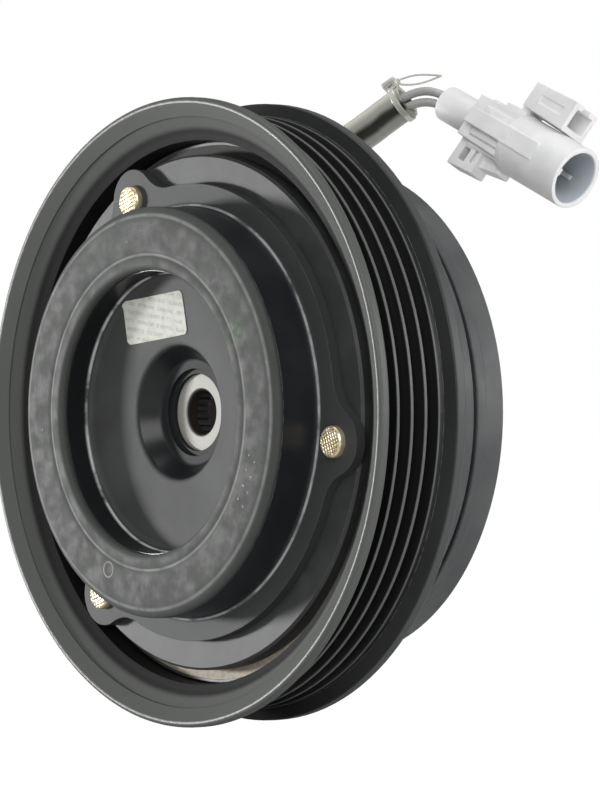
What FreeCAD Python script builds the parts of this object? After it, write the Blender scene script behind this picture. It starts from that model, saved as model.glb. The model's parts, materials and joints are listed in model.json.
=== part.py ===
import FreeCAD, Part
import math
import os
import re

import Sketcher
from FreeCAD import Placement, Rotation, Vector

# An electromagnetic clutch for a car air-conditioning compressor: a grooved pulley on a ball bearing, a
# field coil behind it, and a rubber-damped hub whose armature plate the coil pulls onto the rotor.
#
# The clutch axis is Y. The hub faces -Y and +Z is up. The origin is on the axis, at the rear face of the
# mounting plate, where the clutch seats on the compressor. A station is a distance ahead of that face,
# so a point at station s has y = -s. Lengths are in millimetres and angles in degrees.

SIZES = {
    # pulley rim
    "lip_radius": 64.1,
    "lip_front": 44.7,
    "lip_edge_round": 0.8,
    "lip_back_round": 0.5,
    "lip_back": 41.9,
    "lip_step_radius": 60.2,
    "lip_step_station": 42.25,
    "lip_step_rise": 0.35,
    "lip_inner_radius": 56.8,
    "lip_inner_station": 40.1,
    "front_bore_radius": 55.5,
    "front_bore_mouth": 39.4,
    "front_bore_floor": 33.9,
    "rib_radius": 60.9,
    "groove_count": 4,
    "groove_pitch": 3.56,
    "groove_depth": 2.85,
    "groove_half_mouth": 1.48,
    "groove_half_floor": 0.45,
    "first_groove": 38.7,
    "front_land": 40.8,
    "rear_land": 25.2,
    "rear_flange_radius": 63.4,
    "rear_flange_front": 23.85,
    "rear_flange_back": 21.4,
    "rear_flange_round": 0.4,
    "rim_pocket_outer": 55.2,
    "rim_pocket_inner": 52.0,
    "rim_pocket_floor": 27.0,
    # rotor
    "drum_radius": 51.0,
    "drum_bore": 45.4,
    "rotor_back": 8.2,
    "rotor_chamfer": 0.6,
    "disc_radius": 55.2,
    "disc_back": 29.8,
    "friction_face": 34.8,
    "lining_outer": 54.6,
    "lining_inner": 48.8,
    "lining_floor": 33.3,
    "inner_pole_radius": 30.6,
    "inner_pole_back": 7.4,
    "rotor_mouth": 23.6,
    "slot_count": 6,
    "slot_angle": 43,
    "outer_slot_inner": 43.2,
    "outer_slot_outer": 45.4,
    "inner_slot_inner": 34.6,
    "inner_slot_outer": 36.8,
    # bearing
    "nose_radius": 17.5,
    "bearing_radius": 25.0,
    "bearing_back": 10.7,
    "bearing_front": 30.7,
    "inner_race_outer": 20.2,
    "outer_race_inner": 22.3,
    "ball_circle": 21.25,
    "ball_radius": 2.1,
    "raceway_radius": 2.15,
    "front_row": 25.3,
    "rear_row": 16.1,
    "balls_per_row": 24,
    "cage_inner": 20.55,
    "cage_outer": 21.95,
    "cage_pocket": 2.18,
    "cage_open_side": 1.2,
    "cage_closed_side": 3.3,
    "seal_thickness": 1.2,
    "seal_inset": 0.4,
    "seal_bore": 20.35,
    "seal_rim": 22.25,
    "ring_front": 10.7,
    "ring_back": 9.2,
    "ring_groove_radius": 25.9,
    "ring_bore": 23.4,
    "ring_angle": 334,
    # field assembly
    "field_bore": 24.2,
    "plate_radius": 46.5,
    "plate_thickness": 2.5,
    "weld_circle": 38.0,
    "weld_radius": 2.4,
    "weld_depth": 0.5,
    "weld_count": 6,
    "pin_circle": 40.0,
    "pin_radius": 2.0,
    "pin_seat_radius": 2.4,
    "pin_length": 3.5,
    "pin_chamfer": 0.4,
    "pin_angle": 240,
    "shell_bore": 31.1,
    "shell_inner_wall": 33.3,
    "shell_outer_wall": 42.6,
    "shell_radius": 44.9,
    "shell_front": 27.8,
    "shell_floor": 5.0,
    "shroud_front": 7.7,
    "shroud_step": 5.1,
    "shroud_step_depth": 0.25,
    "shroud_chamfer": 0.8,
    "bobbin_inner": 33.5,
    "bobbin_core": 34.5,
    "bobbin_flange": 41.8,
    "bobbin_back": 5.2,
    "bobbin_rear_face": 6.2,
    "bobbin_front_face": 23.2,
    "bobbin_front": 24.2,
    "winding_radius": 41.0,
    "potting_radius": 42.5,
    "potting_skirt": 41.9,
    "potting_front": 26.8,
    # hub and armature
    "hub_front": 52.4,
    "rubber_opening": 28.8,
    "rubber_radius": 41.5,
    "rubber_lip": 50.4,
    "rubber_back": 42.4,
    "rubber_edge_round": 1.7,
    "rubber_mouth_round": 0.6,
    "case_outer": 41.7,
    "case_inner": 39.8,
    "rubber_core": 39.75,
    "case_front": 50.35,
    "case_base": 41.4,
    "case_back": 39.1,
    "case_fillet": 1.2,
    "case_flange_radius": 46.6,
    "case_flange_bore": 43.6,
    "lobe_circle": 47.2,
    "lobe_radius": 6.6,
    "lobe_fillet": 9.0,
    "lobe_count": 3,
    "first_lobe": 113,
    "rivet_hole": 2.1,
    "rivet_shank": 2.05,
    "rivet_head_radius": 3.2,
    "rivet_head_height": 1.5,
    "rivet_head_round": 0.5,
    "rivet_tail_radius": 3.0,
    "rivet_tail_depth": 1.4,
    "rivet_tail_clear": 0.3,
    "rivet_sink_gap": 0.05,
    "plate_wall_outer": 30.4,
    "plate_wall_inner": 28.6,
    "plate_wall_front": 50.8,
    "dish_corner_station": 45.2,
    "dish_corner_round": 2.0,
    "well_lip": 13.7,
    "well_lip_station": 43.9,
    "well_lip_round": 1.6,
    "well_floor": 10.8,
    "well_floor_station": 39.8,
    "well_floor_round": 0.8,
    "well_hole": 8.9,
    "well_step_station": 38.9,
    "boss_hole": 7.9,
    "plate_back_centre": 37.2,
    "plate_back_well": 13.2,
    "plate_back_knee": 15.9,
    "plate_back_knee_station": 41.4,
    "plate_knee_round": 2.0,
    "plate_back_corner_station": 42.7,
    "plate_corner_round": 2.5,
    "plate_wall_foot": 45.2,
    "boss_face": 38.0,
    "boss_flange": 12.6,
    "boss_flange_back": 34.4,
    "boss_barrel": 9.6,
    "boss_back": 31.0,
    "boss_bore": 4.5,
    "boss_bore_chamfer": 0.5,
    "boss_web": 35.6,
    "spline_minor": 4.9,
    "spline_major": 5.5,
    "spline_space": 0.75,
    "spline_count": 20,
    "spline_overcut": 0.2,
    "shim_radius": 6.5,
    "shim_seat": 6.6,
    "shim_bore": 5.7,
    "shim_floor": 32.0,
    "shim_back": 31.4,
    "armature_radius": 52.6,
    "armature_bore": 31.6,
    "armature_back": 35.31,
    "armature_chamfer": 0.5,
    "armature_slot_inner": 39.0,
    "armature_slot_outer": 41.2,
    "armature_slot_angle": 40,
    "armature_slot_count": 6,
    "label_width": 16.2,
    "label_height": 8.8,
    "label_thickness": 0.12,
    "label_cut_depth": 12.0,
    "label_across": -5.9,
    "label_up": 18.9,
    "label_tilt": 6.5,
    # lead
    "sleeve_radius": 3.65,
    "sleeve_bore": 2.9,
    "wire_radius": 0.9,
    "wire_offset": 1.15,
    "grommet_left": -22.0,
    "grommet_width": 15.0,
    "grommet_floor": 43.5,
    "grommet_rise": 9.0,
    "grommet_depth": 7.5,
    "grommet_round": 1.0,
    "snout_length": 9.0,
    "snout_base": 4.8,
    "snout_tip": 4.2,
    "tie_thickness": 0.8,
    "tie_width": 2.4,
    "tie_clearance": 0.1,
    "tie_head_gap": 0.1,
    "tie_setback": 3.4,
    "tie_head": 4.0,
    "tie_tail_length": 10.5,
    "tie_tail_thickness": 0.9,
    # connector, along its own axis from the cable end to the mouth
    "connector_yaw": 6.9,
    "connector_pitch": 25.4,
    "connector_roll": 67.6,
    "barrel_radius": 3.75,
    "barrel_length": 13.0,
    "seal_radius": 3.0,
    "wire_seal_depth": 4.0,
    "wire_seal_inset": 0.6,
    "body_start": 9.5,
    "body_end": 24.0,
    "body_half_width": 5.6,
    "body_half_height": 5.2,
    "body_round": 1.2,
    "shroud_tube_radius": 6.6,
    "shroud_tube_bore": 5.5,
    "shroud_tube_start": 21.5,
    "shroud_tube_floor": 24.5,
    "connector_length": 38.7,
    "collar_radius": 6.7,
    "collar_width": 1.6,
    "latch_start": 11.0,
    "latch_end": 31.0,
    "latch_half_width": 2.3,
    "latch_thickness": 1.4,
    "latch_sink": 0.4,
    "lug_start": 10.5,
    "lug_end": 17.5,
    "lug_reach": 10.8,
    "lug_half_height": 3.2,
    "lug_wall": 2.0,
    "lug_sink": 0.5,
    "key_width": 1.6,
    "key_depth": 1.4,
    "key_setback": 0.6,
    "key_sink": 0.3,
    "clip_start": 20.0,
    "clip_end": 31.8,
    "clip_foot": 6.75,
    "clip_reach": 13.4,
    "clip_half_height": 4.2,
    "clip_wall": 1.3,
    "clip_floor": 2.0,
    "clip_slot_half": 1.5,
    "clip_foot_half": 2.5,
    "clip_foot_sink": 1.0,
    "clip_foot_gap": 0.2,
    "blade_width": 2.2,
    "blade_thickness": 0.7,
    "blade_offset": 1.9,
    "blade_tip": 34.0,
    "overcut": 1.0,
}

# The lead's route, from the grommet's snout to the seal in the connector's rear.
LEAD_ROUTE = [
    (-7.4, 2.2, 53.7),
    (-1.6, 5.7, 57.9),
    (4.1, 9.1, 62.6),
    (7.32, 11.0, 65.0),
    (11.0, 12.5, 65.9),
    (14.9, 13.5, 65.15),
    (17.68, 13.83, 63.82),
]
# The first points belong to the sleeve, which ends short of the connector.
SLEEVE_POINTS = 4
# Each bend uses this share of the shorter run beside it.
ARC_SHARE = 0.45
# The way that the tie's cut tail points.
TIE_TAIL_WAY = Vector(0.62, 0.77, 0.15)

ALONG_AXIS = Vector(0, 1, 0)
FACING_FORWARD = Placement(Vector(), Rotation(Vector(1, 0, 0), 180))
LEAST_CUT = 1e-4
SAME_PLACE = 1e-3
VOLUME_SHARE = 0.02

doc = FreeCAD.newDocument("clutch")
sheet = doc.addObject("Spreadsheet::Sheet", "Sizes")
nodes = []


def fill_sheet():
    """Write each driving size in a row of its own, with its name as the alias."""
    for row, (name, number) in enumerate(SIZES.items(), start=1):
        sheet.set("A%d" % row, name)
        sheet.set("B%d" % row, str(number))
        sheet.setAlias("B%d" % row, name)
    doc.recompute()


def amount(text):
    """The number that a sum of sheet names and plain numbers comes to."""
    total = 0.0
    sign = 1
    for word in text.split():
        if word in ("+", "-"):
            sign = 1 if word == "+" else -1
        elif word.lstrip("-")[0].isdigit():
            total += sign * float(word)
        else:
            total += sign * float(sheet.get(word))
    return total


def bound(text):
    """The same sum as an expression on the sheet."""
    return re.sub(r"[a-z][a-z_]*", lambda word: "Sizes." + word.group(0), text)


def keep(obj, name):
    """Register an object as a sub-part under its node name."""
    obj.Label = name
    nodes.append(obj)
    return obj


def plane_of(body, role):
    return next(feature for feature in body.Origin.OriginFeatures if feature.Role == role)


def new_sketch(body, name, role="XY_Plane"):
    sketch = body.newObject("Sketcher::SketchObject", name)
    sketch.AttachmentSupport = (plane_of(body, role), [""])
    sketch.MapMode = "FlatFace"
    return sketch


def fix_point(sketch, geometry, end, across, along):
    """Hold one point of a sketch at two sums of sheet sizes."""
    for kind, text in (("DistanceX", across), ("DistanceY", along)):
        index = sketch.addConstraint(Sketcher.Constraint(kind, -1, 1, geometry, end, amount(text)))
        sketch.setExpression("Constraints[%d]" % index, bound(text))


def draw_outline(sketch, corners):
    """A closed outline of straight lines through (radius, station) corners."""
    places = [Vector(amount(radius), amount(station), 0) for radius, station in corners]
    lines = []
    for start, end in zip(places, places[1:] + places[:1]):
        lines.append(sketch.addGeometry(Part.LineSegment(start, end), False))
    for line, following in zip(lines, lines[1:] + lines[:1]):
        sketch.addConstraint(Sketcher.Constraint("Coincident", line, 2, following, 1))
    for line, (radius, station) in zip(lines, corners):
        fix_point(sketch, line, 1, radius, station)


def draw_circle(sketch, across, along, radius):
    """A circle placed and sized by the sheet."""
    centre = Vector(amount(across), amount(along), 0)
    circle = sketch.addGeometry(Part.Circle(centre, Vector(0, 0, 1), amount(radius)), False)
    fix_point(sketch, circle, 3, across, along)
    index = sketch.addConstraint(Sketcher.Constraint("Radius", circle, amount(radius)))
    sketch.setExpression("Constraints[%d]" % index, bound(radius))


def turned(name, corners, angle=None):
    """A body turned about the clutch axis from an outline of (radius, station) corners."""
    body = doc.addObject("PartDesign::Body", name)
    sketch = new_sketch(body, name + "_outline")
    draw_outline(sketch, corners)
    turn = body.newObject("PartDesign::Revolution", name + "_turn")
    turn.Profile = sketch
    turn.ReferenceAxis = (sketch, ["V_Axis"])
    turn.Angle = 360
    if angle:
        turn.setExpression("Angle", bound(angle))
    body.Tip = turn
    body.Placement = FACING_FORWARD
    doc.recompute()
    return body


def must_shrink(body, before, what):
    if body.Shape.Volume >= before - LEAST_CUT:
        raise RuntimeError("%s cut nothing from %s" % (what, body.Name))


def groove_out(body, name, draw, angle=None):
    """Cut a turned groove, all round or over an angle centred on +X."""
    before = body.Shape.Volume
    sketch = new_sketch(body, name + "_outline")
    draw(sketch)
    groove = body.newObject("PartDesign::Groove", name)
    groove.Profile = sketch
    groove.ReferenceAxis = (sketch, ["V_Axis"])
    groove.Angle = 360
    if angle:
        groove.setExpression("Angle", bound(angle))
        groove.Midplane = True
    body.Tip = groove
    doc.recompute()
    must_shrink(body, before, name)
    return groove


def repeat_round(body, name, features, count):
    """Repeat features evenly round the clutch axis."""
    pattern = body.newObject("PartDesign::PolarPattern", name)
    pattern.Originals = features
    pattern.Axis = (plane_of(body, "Y_Axis"), [""])
    pattern.Angle = 360
    pattern.setExpression("Occurrences", bound(count))
    body.Tip = pattern
    doc.recompute()
    return pattern


def cut_slots(body, name, inner, outer, back, front, angle, count):
    """Cut a ring of arc-shaped slots right through."""
    corners = [(inner, back), (outer, back), (outer, front), (inner, front)]
    groove = groove_out(body, name, lambda sketch: draw_outline(sketch, corners), angle)
    before = body.Shape.Volume
    repeat_round(body, name + "_ring", [groove], count)
    must_shrink(body, before, name + " ring")


def round_edges(body, name, places, size, kind="PartDesign::Fillet"):
    """Round or chamfer the full-circle edges at the given (radius, station) places."""
    base = body.Tip
    chosen = []
    for index, edge in enumerate(base.Shape.Edges, start=1):
        if not isinstance(edge.Curve, Part.Circle):
            continue
        for radius, station in places:
            near_radius = abs(edge.Curve.Radius - amount(radius)) < SAME_PLACE
            near_station = abs(edge.Curve.Center.y - amount(station)) < SAME_PLACE
            if near_radius and near_station:
                chosen.append("Edge%d" % index)
    if not chosen:
        raise RuntimeError("no edge for %s" % name)
    dress = body.newObject(kind, name)
    dress.Base = (base, chosen)
    dress.setExpression("Radius" if kind.endswith("Fillet") else "Size", bound(size))
    body.Tip = dress
    doc.recompute()
    return dress


def round_place(circle, angle, station):
    """A placement on a circle about the axis, with the angle turning from +X to +Z."""
    turn = math.radians(angle)
    return Vector(circle * math.cos(turn), -station, circle * math.sin(turn))


def lobe_angles():
    first = amount("first_lobe")
    count = int(amount("lobe_count"))
    return [first + 360.0 * index / count for index in range(count)]


def make_pulley_rim():
    corners = [
        ("drum_radius", "rear_flange_back"),
        ("drum_radius", "disc_back"),
        ("disc_radius", "disc_back"),
        ("disc_radius", "front_bore_floor"),
        ("front_bore_radius", "front_bore_floor"),
        ("front_bore_radius", "front_bore_mouth"),
        ("lip_inner_radius", "lip_inner_station"),
        ("lip_step_radius", "lip_step_station"),
        ("lip_step_radius", "lip_step_station + lip_step_rise"),
        ("lip_radius", "lip_front"),
        ("lip_radius", "lip_back"),
        ("rib_radius", "front_land"),
    ]
    for index in range(int(amount("groove_count"))):
        centre = "first_groove" + " - groove_pitch" * index
        corners.append(("rib_radius", centre + " + groove_half_mouth"))
        corners.append(("rib_radius - groove_depth", centre + " + groove_half_floor"))
        corners.append(("rib_radius - groove_depth", centre + " - groove_half_floor"))
        corners.append(("rib_radius", centre + " - groove_half_mouth"))
    corners += [
        ("rib_radius", "rear_land"),
        ("rear_flange_radius", "rear_flange_front"),
        ("rear_flange_radius", "rear_flange_back"),
        ("rim_pocket_outer", "rear_flange_back"),
        ("rim_pocket_outer", "rim_pocket_floor"),
        ("rim_pocket_inner", "rim_pocket_floor"),
        ("rim_pocket_inner", "rear_flange_back"),
    ]
    body = turned("pulley_rim", corners)
    round_edges(body, "lip_edge", [("lip_radius", "lip_front")], "lip_edge_round")
    round_edges(body, "lip_rear_edge", [("lip_radius", "lip_back")], "lip_back_round")
    round_edges(body, "rear_flange_edges", [
        ("rear_flange_radius", "rear_flange_front"),
        ("rear_flange_radius", "rear_flange_back"),
    ], "rear_flange_round")
    keep(body, "pulley_rim")


def make_rotor():
    body = turned("rotor", [
        ("bearing_radius", "inner_pole_back"),
        ("inner_pole_radius", "inner_pole_back"),
        ("inner_pole_radius", "disc_back"),
        ("drum_bore", "disc_back"),
        ("drum_bore", "rotor_back"),
        ("drum_radius - rotor_chamfer", "rotor_back"),
        ("drum_radius", "rotor_back + rotor_chamfer"),
        ("drum_radius", "disc_back"),
        ("disc_radius", "disc_back"),
        ("disc_radius", "friction_face"),
        ("lining_outer", "friction_face"),
        ("lining_outer", "lining_floor"),
        ("lining_inner", "lining_floor"),
        ("lining_inner", "friction_face"),
        ("rotor_mouth", "friction_face"),
        ("rotor_mouth", "bearing_front"),
        ("bearing_radius", "bearing_front"),
        ("bearing_radius", "ring_front"),
        ("ring_groove_radius", "ring_front"),
        ("ring_groove_radius", "ring_back"),
        ("bearing_radius", "ring_back"),
    ])
    for ring in ("outer_slot", "inner_slot"):
        cut_slots(body, "rotor_" + ring, ring + "_inner", ring + "_outer", "disc_back", "friction_face",
                  "slot_angle", "slot_count")
    keep(body, "rotor")
    keep(turned("friction_lining", [
        ("lining_inner", "lining_floor"),
        ("lining_outer", "lining_floor"),
        ("lining_outer", "friction_face"),
        ("lining_inner", "friction_face"),
    ]), "friction_lining")


def make_race(name, inner, outer):
    """A bearing race with the two raceways cut in it."""
    body = turned(name, [
        (inner, "bearing_back"),
        (outer, "bearing_back"),
        (outer, "bearing_front"),
        (inner, "bearing_front"),
    ])
    for row in ("front_row", "rear_row"):
        groove_out(body, name + "_" + row,
                   lambda sketch, row=row: draw_circle(sketch, "ball_circle", row, "raceway_radius"))
    keep(body, name)


def ball_centres(row):
    count = int(amount("balls_per_row"))
    circle = amount("ball_circle")
    return [round_place(circle, 360.0 * index / count, amount(row)) for index in range(count)]


def make_balls():
    balls = []
    for row in ("front_row", "rear_row"):
        for centre in ball_centres(row):
            balls.append(Part.makeSphere(amount("ball_radius"), centre, ALONG_AXIS))
    node = doc.addObject("Part::Feature", "bearing_balls")
    node.Shape = Part.makeCompound(balls)
    keep(node, "bearing_balls")


def make_cage(name, row, open_side):
    """A crown cage: a ring open towards one side, with a round pocket for each ball."""
    back = row + " - cage_closed_side" if open_side > 0 else row + " - cage_open_side"
    front = row + " + cage_open_side" if open_side > 0 else row + " + cage_closed_side"
    ring = turned(name + "_ring", [
        ("cage_inner", back),
        ("cage_outer", back),
        ("cage_outer", front),
        ("cage_inner", front),
    ])
    size = amount("cage_pocket")
    pockets = doc.addObject("Part::Feature", name + "_pockets")
    pockets.Shape = Part.makeCompound([
        Part.makeSphere(size, centre, ALONG_AXIS) for centre in ball_centres(row)
    ])
    cage = doc.addObject("Part::Cut", name)
    cage.Base = ring
    cage.Tool = pockets
    keep(cage, name)


def make_bearing():
    make_race("bearing_inner_race", "nose_radius", "inner_race_outer")
    make_race("bearing_outer_race", "outer_race_inner", "bearing_radius")
    make_balls()
    make_cage("ball_cage_front", "front_row", 1)
    make_cage("ball_cage_rear", "rear_row", -1)
    seals = {
        "bearing_seal_front": ("bearing_front - seal_inset - seal_thickness", "bearing_front - seal_inset"),
        "bearing_seal_rear": ("bearing_back + seal_inset", "bearing_back + seal_inset + seal_thickness"),
    }
    for name, (back, front) in seals.items():
        keep(turned(name, [("seal_bore", back), ("seal_rim", back), ("seal_rim", front),
                           ("seal_bore", front)]), name)
    keep(turned("bearing_retaining_ring", [
        ("ring_bore", "ring_back"),
        ("ring_groove_radius", "ring_back"),
        ("ring_groove_radius", "ring_front"),
        ("ring_bore", "ring_front"),
    ], "ring_angle"), "bearing_retaining_ring")


def lead_notch(name):
    """The gap in the shell and the plate that the grommet fills."""
    notch = doc.addObject("Part::Box", name)
    notch.setExpression("Length", bound("grommet_width"))
    notch.setExpression("Width", bound("shroud_front"))
    notch.setExpression("Height", bound("grommet_rise"))
    corner = Vector(amount("grommet_left"), -amount("shroud_front"), amount("grommet_floor"))
    notch.Placement = Placement(corner, Rotation())
    return notch


def make_field_shell():
    blank = turned("field_shell_blank", [
        ("shell_bore", "plate_thickness"),
        ("plate_radius", "plate_thickness"),
        ("plate_radius", "0"),
        ("drum_radius - shroud_step_depth - shroud_chamfer", "0"),
        ("drum_radius - shroud_step_depth", "shroud_chamfer"),
        ("drum_radius - shroud_step_depth", "shroud_step"),
        ("drum_radius", "shroud_step + shroud_step_depth"),
        ("drum_radius", "shroud_front - shroud_step_depth"),
        ("drum_radius - shroud_step_depth", "shroud_front"),
        ("shell_radius", "shroud_front"),
        ("shell_radius", "shell_front"),
        ("shell_outer_wall", "shell_front"),
        ("shell_outer_wall", "shell_floor"),
        ("shell_inner_wall", "shell_floor"),
        ("shell_inner_wall", "shell_front"),
        ("shell_bore", "shell_front"),
    ])
    shell = doc.addObject("Part::Cut", "field_shell")
    shell.Base = blank
    shell.Tool = lead_notch("shell_notch")
    keep(shell, "field_shell")


def make_mounting_plate():
    """The plate on the compressor, with the dimples of its projection welds and a pressed-in pin."""
    disc = turned("mounting_plate_disc", [
        ("field_bore", "0"),
        ("plate_radius", "0"),
        ("plate_radius", "plate_thickness"),
        ("field_bore", "plate_thickness"),
    ])
    cutters = []
    count = int(amount("weld_count"))
    for index in range(count):
        weld = doc.addObject("Part::Cylinder", "weld_dimple_%d" % (index + 1))
        weld.setExpression("Radius", bound("weld_radius"))
        weld.setExpression("Height", bound("weld_depth"))
        place = round_place(amount("weld_circle"), 360.0 * index / count, amount("weld_depth"))
        weld.Placement = Placement(place, Rotation(Vector(0, 0, 1), ALONG_AXIS))
        cutters.append(weld)
    hole = doc.addObject("Part::Cylinder", "pin_hole")
    hole.setExpression("Radius", bound("pin_seat_radius"))
    hole.setExpression("Height", bound("plate_thickness"))
    seat = round_place(amount("pin_circle"), amount("pin_angle"), amount("plate_thickness"))
    hole.Placement = Placement(seat, Rotation(Vector(0, 0, 1), ALONG_AXIS))
    cutters.append(hole)
    cutters.append(lead_notch("plate_notch"))
    tools = doc.addObject("Part::MultiFuse", "plate_cutters")
    tools.Shapes = cutters
    plate = doc.addObject("Part::Cut", "mounting_plate")
    plate.Base = disc
    plate.Tool = tools
    keep(plate, "mounting_plate")
    stem = doc.addObject("Part::Cylinder", "pin_stem")
    stem.setExpression("Radius", bound("pin_radius"))
    stem.setExpression("Height", bound("plate_thickness + pin_length"))
    stem.Placement = hole.Placement
    tip = doc.addObject("Part::Chamfer", "pin_tip")
    tip.Base = stem
    doc.recompute()
    cut = amount("pin_chamfer")
    tip.Edges = [(index, cut, cut) for index, edge in enumerate(stem.Shape.Edges, start=1)
                 if len(edge.Vertexes) == 1 and edge.CenterOfMass.y > 0]
    root = doc.addObject("Part::Cylinder", "pin_root")
    root.setExpression("Radius", bound("pin_seat_radius"))
    root.setExpression("Height", bound("plate_thickness"))
    root.Placement = hole.Placement
    pin = doc.addObject("Part::Fuse", "locating_pin")
    pin.Base = tip
    pin.Tool = root
    keep(pin, "locating_pin")


def make_coil():
    keep(turned("coil_bobbin", [
        ("bobbin_inner", "bobbin_back"),
        ("bobbin_flange", "bobbin_back"),
        ("bobbin_flange", "bobbin_rear_face"),
        ("bobbin_core", "bobbin_rear_face"),
        ("bobbin_core", "bobbin_front_face"),
        ("bobbin_flange", "bobbin_front_face"),
        ("bobbin_flange", "bobbin_front"),
        ("bobbin_inner", "bobbin_front"),
    ]), "coil_bobbin")
    keep(turned("coil_winding", [
        ("bobbin_core", "bobbin_rear_face"),
        ("winding_radius", "bobbin_rear_face"),
        ("winding_radius", "bobbin_front_face"),
        ("bobbin_core", "bobbin_front_face"),
    ]), "coil_winding")
    keep(turned("coil_potting", [
        ("bobbin_inner", "bobbin_front"),
        ("potting_skirt", "bobbin_front"),
        ("potting_skirt", "bobbin_back"),
        ("potting_radius", "bobbin_back"),
        ("potting_radius", "potting_front"),
        ("bobbin_inner", "potting_front"),
    ]), "coil_potting")


def make_hub_boss():
    body = turned("hub_boss", [
        ("boss_bore + boss_bore_chamfer", "boss_face"),
        ("boss_hole", "boss_face"),
        ("boss_hole", "plate_back_centre"),
        ("boss_flange", "plate_back_centre"),
        ("boss_flange", "boss_flange_back"),
        ("boss_barrel", "boss_flange_back"),
        ("boss_barrel", "boss_back"),
        ("shim_seat", "boss_back"),
        ("shim_seat", "shim_floor"),
        ("spline_minor", "shim_floor"),
        ("spline_minor", "boss_web"),
        ("boss_bore", "boss_web"),
        ("boss_bore", "boss_face - boss_bore_chamfer"),
    ])
    sketch = new_sketch(body, "spline_space_outline")
    draw_outline(sketch, [
        ("spline_minor - spline_overcut", "shim_floor"),
        ("spline_major", "shim_floor"),
        ("spline_major", "boss_web"),
        ("spline_minor - spline_overcut", "boss_web"),
    ])
    before = body.Shape.Volume
    space = body.newObject("PartDesign::Pocket", "spline_space_cut")
    space.Profile = sketch
    space.setExpression("Length", bound("spline_space"))
    space.Midplane = True
    body.Tip = space
    doc.recompute()
    repeat_round(body, "spline_spaces", [space], "spline_count")
    must_shrink(body, before, "spline")
    keep(body, "hub_boss")
    keep(turned("air_gap_shim", [
        ("shim_bore", "shim_back"),
        ("shim_radius", "shim_back"),
        ("shim_radius", "shim_floor"),
        ("shim_bore", "shim_floor"),
    ]), "air_gap_shim")


def make_hub_plate():
    """A pressed dish with a central well, turned up at its rim into the wall that holds the rubber."""
    body = turned("hub_plate", [
        ("plate_wall_inner", "plate_wall_front"),
        ("plate_wall_inner", "dish_corner_station"),
        ("well_lip", "well_lip_station"),
        ("well_floor", "well_floor_station"),
        ("well_hole", "well_floor_station"),
        ("well_hole", "well_step_station"),
        ("boss_hole", "well_step_station"),
        ("boss_hole", "plate_back_centre"),
        ("plate_back_well", "plate_back_centre"),
        ("plate_back_knee", "plate_back_knee_station"),
        ("plate_wall_outer", "plate_back_corner_station"),
        ("plate_wall_outer", "plate_wall_front"),
    ])
    round_edges(body, "dish_corner_blend", [("plate_wall_inner", "dish_corner_station")],
                "dish_corner_round")
    round_edges(body, "well_lip_blend", [("well_lip", "well_lip_station")], "well_lip_round")
    round_edges(body, "well_floor_blend", [("well_floor", "well_floor_station")], "well_floor_round")
    round_edges(body, "plate_knee_blend", [("plate_back_knee", "plate_back_knee_station")],
                "plate_knee_round")
    round_edges(body, "plate_corner_blend", [("plate_wall_outer", "plate_back_corner_station")],
                "plate_corner_round")
    keep(body, "hub_plate")


def make_damper_rubber():
    body = turned("damper_rubber", [
        ("rubber_opening", "hub_front"),
        ("rubber_radius", "hub_front"),
        ("rubber_radius", "rubber_lip"),
        ("rubber_core", "rubber_lip"),
        ("rubber_core", "rubber_back"),
        ("plate_wall_outer", "plate_wall_foot"),
        ("plate_wall_outer", "plate_wall_front"),
        ("rubber_opening", "plate_wall_front"),
    ])
    round_edges(body, "rubber_rim", [("rubber_radius", "hub_front")], "rubber_edge_round")
    round_edges(body, "rubber_mouth", [("rubber_opening", "hub_front")], "rubber_mouth_round")
    keep(body, "damper_rubber")


def polar(radius, angle):
    """A point in the plane across the axis, with the angle in radians from +X to +Z."""
    return Vector(radius * math.cos(angle), 0, radius * math.sin(angle))


def lobed_outline():
    """The flange's outline: a circle with a round lobe at each rivet, blended by hollow arcs."""
    rim = amount("case_flange_radius")
    lobe = amount("lobe_radius")
    blend = amount("lobe_fillet")
    circle = amount("lobe_circle")
    reach = circle ** 2 + (rim + blend) ** 2 - (lobe + blend) ** 2
    spread = math.acos(reach / (2 * circle * (rim + blend)))
    pitch = 2 * math.pi / amount("lobe_count")
    edges = []
    for angle in lobe_angles():
        turn = math.radians(angle)
        centre = polar(circle, turn)
        tip = polar(circle + lobe, turn)
        feet = {}
        for side in (-1, 1):
            hollow = polar(rim + blend, turn + side * spread)
            on_rim = polar(rim, turn + side * spread)
            on_lobe = centre + (hollow - centre).normalize() * lobe
            middle = hollow + ((on_rim + on_lobe) / 2 - hollow).normalize() * blend
            edges.append(Part.Arc(on_rim, middle, on_lobe).toShape())
            feet[side] = on_lobe
        edges.append(Part.Arc(feet[-1], tip, feet[1]).toShape())
        start = turn + spread
        end = turn + pitch - spread
        edges.append(Part.Arc(polar(rim, start), polar(rim, (start + end) / 2), polar(rim, end)).toShape())
    return Part.Wire(Part.__sortEdges__(edges))


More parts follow.
